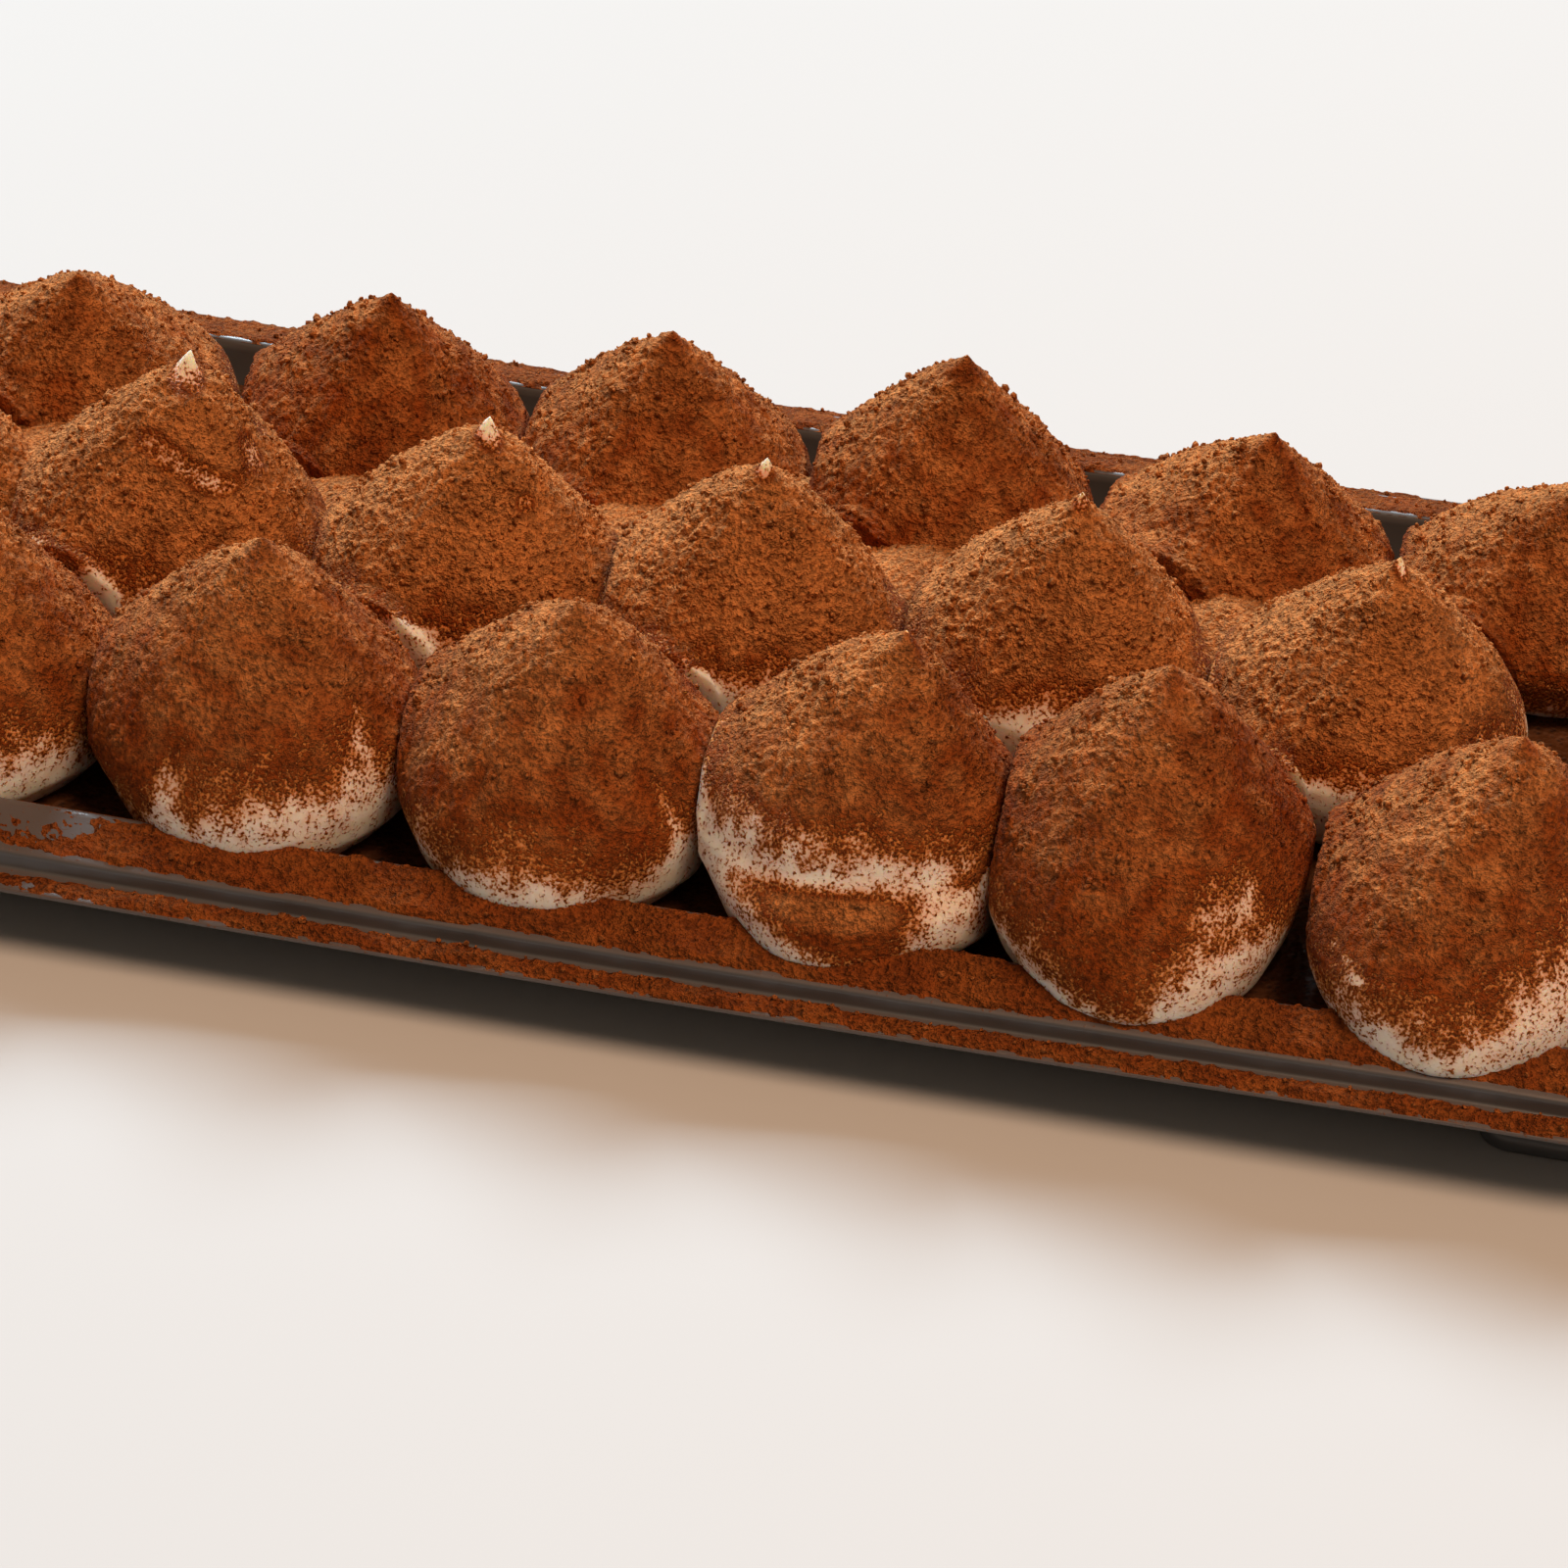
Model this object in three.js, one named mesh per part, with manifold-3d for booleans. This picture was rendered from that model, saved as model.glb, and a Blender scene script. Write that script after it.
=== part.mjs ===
// Tiramisu in its own long, shallow dish, drawn with three.js. Millimetres, +Z up.
// The origin is on the table, under the middle of the dish. X runs along the rows of
// cream and Y across them, from the front row to the back row.
//
// The dish has a stepped rim: a low ledge all round, a short upright band on it, and a
// flange that slopes up and inwards to the mouth. A soaked biscuit layer fills the
// bottom, and twenty piped cream dollops stand on it in three staggered rows. Each
// dollop is pressed flat against its neighbours, and the outer rows sag over the flange.
// The loaded dish is bowed: its middle hangs a little lower than its ends.

import * as THREE from 'three';
import { mergeVertices } from 'three/addons/utils/BufferGeometryUtils.js';
import Module from 'manifold-3d';

const wasm = await Module();
wasm.setup();

// ---------------------------------------------------------------- driving dimensions
const CLEARANCE = 0.3;            // gap that touching pieces keep

const DISH_HALF_LENGTH = 169;     // to the outer edge of the sloping flange
const DISH_HALF_WIDTH = 76;
const DISH_CORNER_RADIUS = 17;
const LEDGE_WIDTH = 5.3;          // low ledge outside the upright band
const LEDGE_THICKNESS = 2;
const LIP_THICKNESS = 0.9;        // the ledge thins towards its outer edge
const BAND_HEIGHT = 2.5;          // upright band between ledge and flange
const FLANGE_WIDTH = 9;           // sloping flange, in plan
const FLANGE_RISE = 2.5;
const FLOOR_THICKNESS = 3;
const FOOT_HEIGHT = 3;
const LEDGE_TOP = 12;             // height of the ledge above the table
const CORNER_STEPS = 6;           // straight pieces in each rounded corner
const LONG_SIDE_STEPS = 8;        // straight pieces in each long side
const BOW = 1.3;                  // how much lower the middle hangs than the ends
const BOW_HALF_SPAN = 135;        // the ends beyond this, over the feet, stay level

const FOOT_LENGTH = 20;
const FOOT_WIDTH = 13;
const FOOT_RADIUS = 5;
const FOOT_INNER_END = 138;       // from the middle of the dish to a foot's inner end
const FOOT_OUTER_SIDE = 70;       // from the middle line to a foot's outer side
const FOOT_SINK = 1;              // how far a foot runs up into the floor

const BISCUIT_TOP = 11;
const BISCUIT_BEVEL = 1.2;

const DOLLOP_SIDES = 22;
const PRESS_SHARPNESS = 16;       // how sharply a dollop flattens where it meets the next
const UNEVENNESS = 0.018;         // of a dollop's radius, as low lobes round its outline
const TIP_DRAW = 2.2;             // power by which a dollop's axis bends over to its tip
const TUCK = [0.27, 0.16];        // share of the radius that a dollop's underside draws in,
const TUCK_TOP = 0.32;            // left and right, up to this share of the height

// Half of a dollop's outline, from a base that tucks in, over a belly low down and the
// shoulders, to a drawn-out tip. Each entry is the share of the height, then the share of
// the radius there on a slim dollop and on a plump one.
const DOLLOP_PROFILE = [
  [0, 0.9, 0.9], [0.1, 1, 1], [0.21, 0.985, 0.985], [0.34, 0.88, 0.91], [0.48, 0.725, 0.785],
  [0.62, 0.54, 0.62], [0.75, 0.35, 0.445], [0.86, 0.19, 0.275], [0.94, 0.08, 0.125],
  [0.98, 0.03, 0.045],
];
const SKIRT_LEVELS = [0.1, 0.21]; // height shares of a skirt and of the crease over it
const CREASE_LEVEL = 0.34;

// Each row has the radius of its dollops where nothing presses on them, their plumpness,
// how far their shoulders lag to the left of the tip, and the side that faces out. Its
// dollops go from left to right, about 45 apart: foot is the middle of the base, tip the
// point, sag how much farther the belly reaches on the side that faces out, tuck how much
// the underside draws in where that is not the usual, and fold the depth of a crease on
// the side that faces out, over a skirt of cream.
const FRONT_ROW = {
  name: 'front', radius: 27, plumpness: 1, lag: 2, outward: -1,
  dollops: [
    { foot: [-134, -43], tip: [-132, -43.5, 51], sag: 0.02 },
    { foot: [-89, -43], tip: [-91.2, -42, 52.2], sag: 0.1 },
    { foot: [-42.8, -43], tip: [-43.1, -44.4, 53.2], sag: 0.03 },
    { foot: [2.2, -43], tip: [3, -45.7, 51.8], sag: 0.06 },
    { foot: [45, -43], tip: [49.2, -42.4, 53.1], sag: 0.06, tuck: [0.5, 0.08], fold: 0.07 },
    { foot: [87, -43], tip: [86.8, -42.9, 54.3], sag: 0.17, tuck: [0.3, 0.27] },
    { foot: [133.5, -43], tip: [136.2, -43.4, 51], sag: 0.19 },
  ],
};
const MIDDLE_ROW = {
  name: 'middle', radius: 26.5, plumpness: 0.45, lag: 2, outward: 0,
  dollops: [
    { foot: [-114, 0], tip: [-113, 0, 50.5], sag: 0 },
    { foot: [-68.5, -0.5], tip: [-67, 1.9, 53.5], sag: 0 },
    { foot: [-22.5, -0.5], tip: [-21.1, 0.2, 51.3], sag: 0 },
    { foot: [20, 2], tip: [20.4, 0.5, 51.3], sag: 0 },
    { foot: [65.8, 3.5], tip: [66.7, 1.9, 52.5], sag: 0 },
    { foot: [111.5, 1], tip: [113.5, 0, 50.4], sag: 0 },
  ],
};
const BACK_ROW = {
  name: 'back', radius: 25.5, plumpness: 0.1, lag: 3.5, outward: 1,
  dollops: [
    { foot: [-135, 41.5], tip: [-137.5, 38, 45.8], sag: 0.03 },
    { foot: [-92, 39], tip: [-94.1, 34.1, 44.2], sag: 0.16 },
    { foot: [-45.5, 42], tip: [-46, 38.8, 46.6], sag: 0.02 },
    { foot: [-1.5, 42.5], tip: [-2.2, 39.2, 47.3], sag: 0.08 },
    { foot: [43, 43.5], tip: [42.5, 41.6, 49.2], sag: 0.05 },
    { foot: [88, 40.5], tip: [90.2, 38, 45.5], sag: 0.12 },
    { foot: [134, 41.5], tip: [136.8, 35.9, 45], sag: 0.04 },
  ],
};

// ---------------------------------------------------------------------- derived sizes
const BAND_TOP = LEDGE_TOP + BAND_HEIGHT;
const MOUTH_TOP = BAND_TOP + FLANGE_RISE;
const FLOOR_TOP = FOOT_HEIGHT + FLOOR_THICKNESS;
const LEDGE_UNDERSIDE = LEDGE_TOP - LEDGE_THICKNESS;
const DOLLOP_BASE = BISCUIT_TOP + CLEARANCE;
const MOUTH_INSET = FLANGE_WIDTH + 1;          // inner wall, just inside the crest
const FLOOR_INSET = MOUTH_INSET + 2;           // where the inner wall meets the floor

// -------------------------------------------------------------------------- materials
const glaze = new THREE.MeshStandardMaterial({ color: 0x1b1918, roughness: 0.25 });
const biscuit = new THREE.MeshStandardMaterial({ color: 0x4a2813, roughness: 0.8 });
const dustedCream = new THREE.MeshStandardMaterial({ color: 0x7d4224, roughness: 0.95 });

// -------------------------------------------------------------------------- mesh tools
const geometryFrom = (points, triangles) => {
  const geometry = new THREE.BufferGeometry();
  geometry.setAttribute('position', new THREE.Float32BufferAttribute(points.flat(), 3));
  geometry.setIndex(triangles.flat());
  return geometry;
};

const solidFrom = (source) => {
  const bare = source.clone();
  bare.deleteAttribute('normal');
  bare.deleteAttribute('uv');
  const merged = mergeVertices(bare, 1e-4);
  return new wasm.Manifold(new wasm.Mesh({
    numProp: 3,
    vertProperties: new Float32Array(merged.attributes.position.array),
    triVerts: new Uint32Array(merged.index.array),
  }));
};

const geometryOf = (solid) => {
  const mesh = solid.getMesh();
  const geometry = new THREE.BufferGeometry();
  geometry.setAttribute('position', new THREE.BufferAttribute(mesh.vertProperties, 3));
  geometry.setIndex(new THREE.BufferAttribute(mesh.triVerts, 1));
  return geometry;
};

// Joins stacked rings of points into one skin. Each ring runs anticlockwise seen from
// above, and the rings go from the start of the skin to its end.
const skinTriangles = (ringCount, ringSize) => {
  const triangles = [];
  for (let ring = 0; ring < ringCount - 1; ring += 1) {
    for (let side = 0; side < ringSize; side += 1) {
      const next = (side + 1) % ringSize;
      const a = ring * ringSize + side;
      const b = ring * ringSize + next;
      const c = a + ringSize;
      const d = b + ringSize;
      triangles.push([a, b, d], [a, d, c]);
    }
  }
  return triangles;
};

// Closes a ring with a fan round one middle point.
const fanTriangles = (firstOfRing, ringSize, middle, facesDown) => {
  const triangles = [];
  for (let side = 0; side < ringSize; side += 1) {
    const a = firstOfRing + side;
    const b = firstOfRing + ((side + 1) % ringSize);
    triangles.push(facesDown ? [b, a, middle] : [a, b, middle]);
  }
  return triangles;
};

// -------------------------------------------------------------------------------- dish
// One turn round the dish's rounded rectangle, moved out by offset, at height z.
const dishRing = (offset, z) => {
  const radius = Math.max(DISH_CORNER_RADIUS + offset, 1);
  const cornerX = DISH_HALF_LENGTH + offset - radius;
  const cornerY = DISH_HALF_WIDTH + offset - radius;
  const corners = [[1, 1], [-1, 1], [-1, -1], [1, -1]];
  return corners.flatMap(([signX, signY], quarter) => {
    const arc = Array.from({ length: CORNER_STEPS + 1 }, (_, step) => {
      const angle = (quarter + step / CORNER_STEPS) * Math.PI / 2;
      return [
        signX * cornerX + radius * Math.cos(angle),
        signY * cornerY + radius * Math.sin(angle),
        z,
      ];
    });
    if (signX !== signY) return arc;          // a short side follows this corner
    const along = Array.from({ length: LONG_SIDE_STEPS - 1 }, (_, step) => (
      [signX * cornerX * (1 - 2 * (step + 1) / LONG_SIDE_STEPS), arc.at(-1)[1], z]
    ));
    return [...arc, ...along];
  });
};

// The dish's section as [offset from the flange's outer edge, height], from the middle
// of the underside outwards, over the rim and back to the middle of the floor.
const dishSection = [
  [-9, FOOT_HEIGHT], [-7.4, FOOT_HEIGHT + 0.9], [-6.6, FOOT_HEIGHT + 3],
  [-6, LEDGE_UNDERSIDE - 0.8], [-4.6, LEDGE_UNDERSIDE],
  [LEDGE_WIDTH - 1.6, LEDGE_TOP - LIP_THICKNESS - 0.4],
  [LEDGE_WIDTH - 0.3, LEDGE_TOP - LIP_THICKNESS], [LEDGE_WIDTH, LEDGE_TOP - 0.5],
  [LEDGE_WIDTH - 0.4, LEDGE_TOP - 0.1],
  [0.3, LEDGE_TOP], [0, LEDGE_TOP + 0.3], [0, BAND_TOP - 0.5], [-0.5, BAND_TOP + 0.1],
  [-FLANGE_WIDTH + 0.9, MOUTH_TOP - 0.15], [-FLANGE_WIDTH, MOUTH_TOP],
  [-FLANGE_WIDTH - 0.7, MOUTH_TOP - 0.4], [-MOUTH_INSET, MOUTH_TOP - 1.4],
  [-MOUTH_INSET - 0.6, FLOOR_TOP + 1.6], [-FLOOR_INSET, FLOOR_TOP],
];

const closedRings = (section) => {
  const rings = section.map(([offset, z]) => dishRing(offset, z));
  const ringSize = rings[0].length;
  const points = rings.flat();
  const bottomMiddle = points.push([0, 0, section[0][1]]) - 1;
  const topMiddle = points.push([0, 0, section.at(-1)[1]]) - 1;
  return geometryFrom(points, [
    ...skinTriangles(rings.length, ringSize),
    ...fanTriangles(0, ringSize, bottomMiddle, true),
    ...fanTriangles((rings.length - 1) * ringSize, ringSize, topMiddle, false),
  ]);
};

// A foot is a short rounded block under each corner.
const footGeometry = () => {
  const x = FOOT_LENGTH / 2 - FOOT_RADIUS;
  const y = FOOT_WIDTH / 2 - FOOT_RADIUS;
  const outline = new THREE.Shape();
  outline.absarc(x, y, FOOT_RADIUS, 0, Math.PI / 2);
  outline.absarc(-x, y, FOOT_RADIUS, Math.PI / 2, Math.PI);
  outline.absarc(-x, -y, FOOT_RADIUS, Math.PI, 1.5 * Math.PI);
  outline.absarc(x, -y, FOOT_RADIUS, 1.5 * Math.PI, 2 * Math.PI);
  return new THREE.ExtrudeGeometry(outline, {
    depth: FOOT_HEIGHT + FOOT_SINK, bevelEnabled: false, curveSegments: 4,
  });
};

const dishGeometry = () => {
  let dish = solidFrom(closedRings(dishSection));
  for (const signX of [-1, 1]) {
    for (const signY of [-1, 1]) {
      const foot = footGeometry().translate(
        signX * (FOOT_INNER_END + FOOT_LENGTH / 2),
        signY * (FOOT_OUTER_SIDE - FOOT_WIDTH / 2),
        0,
      );
      dish = dish.add(solidFrom(foot));
    }
  }
  return geometryOf(dish);
};

// ----------------------------------------------------------------------- biscuit layer
// The soaked layer lies on the floor and follows the inner wall.
const biscuitGeometry = () => closedRings([
  [-FLOOR_INSET - CLEARANCE - 1, FLOOR_TOP + CLEARANCE],
  [-FLOOR_INSET - CLEARANCE, FLOOR_TOP + CLEARANCE + 1],
  [-MOUTH_INSET - CLEARANCE - 0.6, BISCUIT_TOP - BISCUIT_BEVEL],
  [-MOUTH_INSET - CLEARANCE - 0.6 - BISCUIT_BEVEL, BISCUIT_TOP],
]);

// ----------------------------------------------------------------------------- dollops
// The space that the dish's rim takes, grown by the clearance. What sags over the rim is
// cut back to it, so that it lies on the flange.
const rimSpace = (() => {
  const wall = -MOUTH_INSET - CLEARANCE;
  const crest = [-FLANGE_WIDTH, MOUTH_TOP + CLEARANCE];
  const flangeEdge = [-0.5, BAND_TOP + 0.1 + CLEARANCE];
  const beyondLedge = 12;
  const outer = closedRings([
    [beyondLedge, FLOOR_TOP], [beyondLedge, BAND_TOP - 3], flangeEdge, crest,
  ]);
  const mouth = closedRings([
    [wall - 0.6, FLOOR_TOP - 1], [wall - 0.6, FLOOR_TOP], [wall, MOUTH_TOP - 1.4],
    [-FLANGE_WIDTH - 0.7 - CLEARANCE, MOUTH_TOP - 0.4 + CLEARANCE], crest,
    [-FLANGE_WIDTH - 0.2, MOUTH_TOP + CLEARANCE + 1],
  ]);
  return solidFrom(outer).subtract(solidFrom(mouth));
})();

const dollops = [FRONT_ROW, MIDDLE_ROW, BACK_ROW].flatMap((row, rowIndex) => (
  row.dollops.map((dollop, index) => ({
    ...row,
    ...dollop,
    name: `dollop_${row.name}_${index + 1}`,
    lobe: rowIndex * row.dollops.length + index,
  }))
));

// How far a dollop reaches from its axis at one height and direction.
const reach = (dollop, centre, share, level, direction) => {
  const [dx, dy] = direction;
  const facing = Math.max(0, dy * dollop.outward) ** 2;
  const angle = Math.atan2(dy, dx);
  const lobes = Math.sin(2 * angle + dollop.lobe) + Math.sin(3 * angle + 2.3 * dollop.lobe);
  const fold = (dollop.fold ?? 0) * (SKIRT_LEVELS.includes(level) - (level === CREASE_LEVEL));
  const drawnIn = THREE.MathUtils.lerp(...(dollop.tuck ?? TUCK), (1 + dx) / 2);
  const tuck = drawnIn * (1 - facing ** 2) * Math.max(0, 1 - level / TUCK_TOP);
  const stretch = 1 + (dollop.sag + fold) * facing + UNEVENNESS * lobes - tuck;
  let limit = dollop.radius * share * stretch;
  for (const other of dollops) {
    if (other === dollop) continue;
    const toOther = new THREE.Vector2(...other.foot).sub(new THREE.Vector2(...dollop.foot));
    const distance = toOther.length();
    if (distance > dollop.radius + other.radius + CLEARANCE) continue;
    toOther.normalize();
    const towards = toOther.x * dx + toOther.y * dy;
    if (towards <= 0) continue;
    const shift = (centre[0] - dollop.foot[0]) * toOther.x
      + (centre[1] - dollop.foot[1]) * toOther.y;
    const wall = (distance / 2 - CLEARANCE / 2 - shift) / towards;
    limit = (limit ** -PRESS_SHARPNESS + wall ** -PRESS_SHARPNESS) ** (-1 / PRESS_SHARPNESS);
  }
  return limit;
};

const dollopGeometry = (dollop) => {
  const [tipX, tipY, tipZ] = dollop.tip;
  const height = tipZ - DOLLOP_BASE;
  const points = [];
  for (const [level, slim, plump] of DOLLOP_PROFILE) {
    const share = THREE.MathUtils.lerp(slim, plump, dollop.plumpness);
    const lean = level ** TIP_DRAW;
    const centre = [
      THREE.MathUtils.lerp(dollop.foot[0], tipX, lean)
        - dollop.lag * Math.sin(Math.PI * level),
      THREE.MathUtils.lerp(dollop.foot[1], tipY, lean),
    ];
    for (let side = 0; side < DOLLOP_SIDES; side += 1) {
      const angle = side / DOLLOP_SIDES * 2 * Math.PI;
      const direction = [Math.cos(angle), Math.sin(angle)];
      const radius = reach(dollop, centre, share, level, direction);
      points.push([
        centre[0] + radius * direction[0],
        centre[1] + radius * direction[1],
        DOLLOP_BASE + height * level,
      ]);
    }
  }
  const bottomMiddle = points.push([...dollop.foot, DOLLOP_BASE]) - 1;
  const top = points.push([tipX, tipY, tipZ]) - 1;
  const rings = DOLLOP_PROFILE.length;
  const body = geometryFrom(points, [
    ...skinTriangles(rings, DOLLOP_SIDES),
    ...fanTriangles(0, DOLLOP_SIDES, bottomMiddle, true),
    ...fanTriangles((rings - 1) * DOLLOP_SIDES, DOLLOP_SIDES, top, false),
  ]);
  return geometryOf(solidFrom(body).subtract(rimSpace));
};

// ---------------------------------------------------------------------------- assembly
const tiramisu = new THREE.Group();

// Lowers the middle of the finished pieces together, so that none leaves its neighbour.
const bowed = (geometry) => {
  const position = geometry.attributes.position;
  for (let point = 0; point < position.count; point += 1) {
    const along = position.getX(point) / BOW_HALF_SPAN;
    position.setZ(point, position.getZ(point) - BOW * Math.max(0, 1 - along ** 2));
  }
  return geometry;
};

const add = (name, geometry, material) => {
  const mesh = new THREE.Mesh(bowed(geometry), material);
  mesh.name = name;
  tiramisu.add(mesh);
};

add('dish', dishGeometry(), glaze);
add('soaked_biscuit', biscuitGeometry(), biscuit);
for (const dollop of dollops) add(dollop.name, dollopGeometry(dollop), dustedCream);

export default tiramisu;
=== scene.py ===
# %% [markdown]
# # Tiramisu in a long shallow dish
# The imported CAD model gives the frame: a dark dish with a stepped rim, a soaked biscuit
# layer, and twenty piped cream dollops. This script dresses it. Each solid is replaced by
# a finer surface of the same form, with the sifted cocoa as real relief, because the
# grain of the cocoa and its ragged lower edge are what the eye reads first.

# %% Load the frame
import itertools
import math

import bpy
import numpy as np
from mathutils import Matrix, Vector


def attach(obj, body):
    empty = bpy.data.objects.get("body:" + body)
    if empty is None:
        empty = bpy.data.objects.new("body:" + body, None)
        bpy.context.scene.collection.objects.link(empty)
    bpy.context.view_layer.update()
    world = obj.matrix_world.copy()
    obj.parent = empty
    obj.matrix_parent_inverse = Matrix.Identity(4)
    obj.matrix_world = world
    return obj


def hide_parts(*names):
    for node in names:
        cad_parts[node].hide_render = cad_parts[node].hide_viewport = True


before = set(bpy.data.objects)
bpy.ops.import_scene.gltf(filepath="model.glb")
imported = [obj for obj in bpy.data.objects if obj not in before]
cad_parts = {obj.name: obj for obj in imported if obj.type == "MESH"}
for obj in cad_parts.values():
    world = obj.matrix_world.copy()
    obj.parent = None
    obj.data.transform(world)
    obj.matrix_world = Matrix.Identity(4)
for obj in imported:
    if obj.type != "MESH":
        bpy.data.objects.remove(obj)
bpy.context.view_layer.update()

MM = 0.001

# %% [markdown]
# ## Noise for relief
# Cocoa falls in clumps, and cream is piped by hand, so nothing here is even. A displace
# modifier could raise the relief, but here the same noise also has to steer where the
# cocoa ends and where crumbs lie. So it is worked out in numpy: gradient noise on a
# lattice, where every lattice point gets a fixed slope from a hash of its place. It gives
# the same result each run.

# %% Gradient noise
SLOPE_COUNT = 256                  # fixed slopes that the lattice points share
SLOPES = np.random.default_rng(7).normal(size=(SLOPE_COUNT, 3))
SLOPES /= np.linalg.norm(SLOPES, axis=1)[:, None]
PLACE_PRIMES = (73856093, 19349663, 83492791)       # tell neighbouring places apart
STIRRERS = (2654435761, 2246822519, 3266489917)     # odd numbers that mix the bits
LOW_BITS = 0xFFFFFFFF


def noise(points, size, seed):
    """Smooth noise of about -0.6 to 0.6 with bumps as wide as size (one or three values)."""
    place = points / np.asarray(size, float)
    cell = np.floor(place).astype(np.int64)
    inside = place - cell
    fade = inside ** 3 * (inside * (inside * 6 - 15) + 10)
    total = np.zeros(len(points))
    for corner in np.ndindex(2, 2, 2):
        x, y, z = (cell + corner).T
        key = (x * PLACE_PRIMES[0]) ^ (y * PLACE_PRIMES[1]) ^ (z * PLACE_PRIMES[2])
        key = (key ^ (seed * STIRRERS[0])) & LOW_BITS
        key = ((key ^ (key >> 15)) * STIRRERS[1]) & LOW_BITS
        key = ((key ^ (key >> 13)) * STIRRERS[2]) & LOW_BITS
        slope = SLOPES[(key ^ (key >> 16)) % SLOPE_COUNT]
        weight = np.prod(np.where(corner, fade, 1 - fade), axis=1)
        total += weight * np.sum(slope * (inside - corner), axis=1)
    return total


def clumps(points, size, seed):
    """Rounded bumps with narrow valleys between them, from 0 in a valley to about 1."""
    return np.minimum(np.abs(noise(points, size, seed)) * 2.6, 1.0)


def layered(kind, points, layers):
    """Noise or clumps of several sizes added up; each layer is height, width and seed."""
    return sum(height * kind(points, width, seed) for height, width, seed in layers)


def smooth_step(low, high, value):
    """0 below low, 1 above high, and a soft slope between them."""
    t = np.clip((value - low) / (high - low), 0, 1)
    return t * t * (3 - 2 * t)


sample = noise(np.random.default_rng(1).uniform(0, 90, (5000, 3)), 3.0, 0)
print("noise: from", round(float(sample.min()), 2), "to", round(float(sample.max()), 2))

# %% [markdown]
# ## From points to a piece
# Every piece is made from arrays of points and faces in millimetres. Blender's modifiers
# could cut and bend simple bodies, but every form here follows a formula, so its points
# are worked out directly. The bow of the dish is put in for all pieces alike: the middle
# hangs a little lower than the ends.

# %% Mesh helper
BOW, BOW_HALF_SPAN = 1.3, 135.0    # how far the middle sags, and half the length that sags


def bowed(points):
    lowered = points.copy()
    share = 1 - (points[:, 0] / BOW_HALF_SPAN) ** 2
    lowered[:, 2] -= BOW * np.maximum(0, share)
    return lowered


def make_piece(name, points, faces, material, replaced=None, marks=None):
    """A mesh object from points in mm and faces; marks are named values for each point."""
    mesh = bpy.data.meshes.new(name)
    mesh.from_pydata(bowed(np.asarray(points, float)) * MM, [], faces)
    mesh.polygons.foreach_set("use_smooth", np.ones(len(mesh.polygons), bool))
    for mark, values in (marks or {}).items():
        layer = mesh.attributes.new(mark, "FLOAT", "POINT")
        layer.data.foreach_set("value", np.asarray(values, np.float32))
    mesh.materials.append(material)
    mesh.update()
    piece = bpy.data.objects.new(name, mesh)
    bpy.context.collection.objects.link(piece)
    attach(piece, "root")
    if replaced:
        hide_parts(replaced)
    return piece


print("bow: the middle hangs", BOW, "mm lower than the ends")

# %% [markdown]
# ## Materials
# Colours are given as sRGB hex values and turned to linear by one function. One small
# function adds a node, sets it up and links it. Patterns are measured on the object in
# metres, so a pattern's scale is one over its real size.

# %% Colour and node helpers
def linear(hex_value):
    """An sRGB hex colour as linear red, green and blue, and full alpha."""
    parts = [int(hex_value[i:i + 2], 16) / 255 for i in (1, 3, 5)]
    return (*[p / 12.92 if p <= 0.04045 else ((p + 0.055) / 1.055) ** 2.4 for p in parts], 1)


def set_inputs(tree, node, inputs):
    """Gives each named or numbered input a value, or links another node's output to it."""
    for key, value in inputs.items():
        if isinstance(value, bpy.types.NodeSocket):
            tree.links.new(value, node.inputs[key])
        else:
            node.inputs[key].default_value = value


def add_node(tree, kind, output, inputs, **settings):
    """Adds a node, sets it up, links it, and gives back one of its outputs."""
    node = tree.nodes.new("ShaderNode" + kind)
    for name, value in settings.items():
        setattr(node, name, value)
    set_inputs(tree, node, inputs)
    return node.outputs[output]


def new_material(name, **shader_values):
    """A principled material with these values, its nodes, and places on the object."""
    material = bpy.data.materials.new(name)
    material.use_nodes = True
    tree = material.node_tree
    shader = tree.nodes["Principled BSDF"]
    set_inputs(tree, shader, {key.replace("_", " "): v for key, v in shader_values.items()})
    place = add_node(tree, "TexCoord", "Object", {})
    return material, tree, shader, place


def per_size(size_mm):
    """Scale of a pattern whose bumps have that real size."""
    return 1 / (size_mm * MM)


MIX_RESULT, MIX_A, MIX_B = 2, 6, 7           # a mix node's sockets that hold colours
print("white is", linear("#FFFFFF"), "and mid grey", round(linear("#808080")[0], 3))

# %% [markdown]
# ### Grains of cocoa
# Real cocoa is a powder whose single grains, of about 0.02 mm, are too fine to show. It
# falls in clumps of about a millimetre, and those are what is drawn: their height for the
# bump, and a painted shade in the colour, dark in the pits between them and in the valleys
# of the modelled crust, where little light gets in, and a little paler on their tops.

# %% Grains of cocoa
CLUMP_MM, PATCH_MM = 0.95, 8.0     # clumps, and the patches where they stand out or lie flat
CLUMP_BUMP_MM = 4.5                # full height of the bump, more than real, so that it shows


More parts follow.
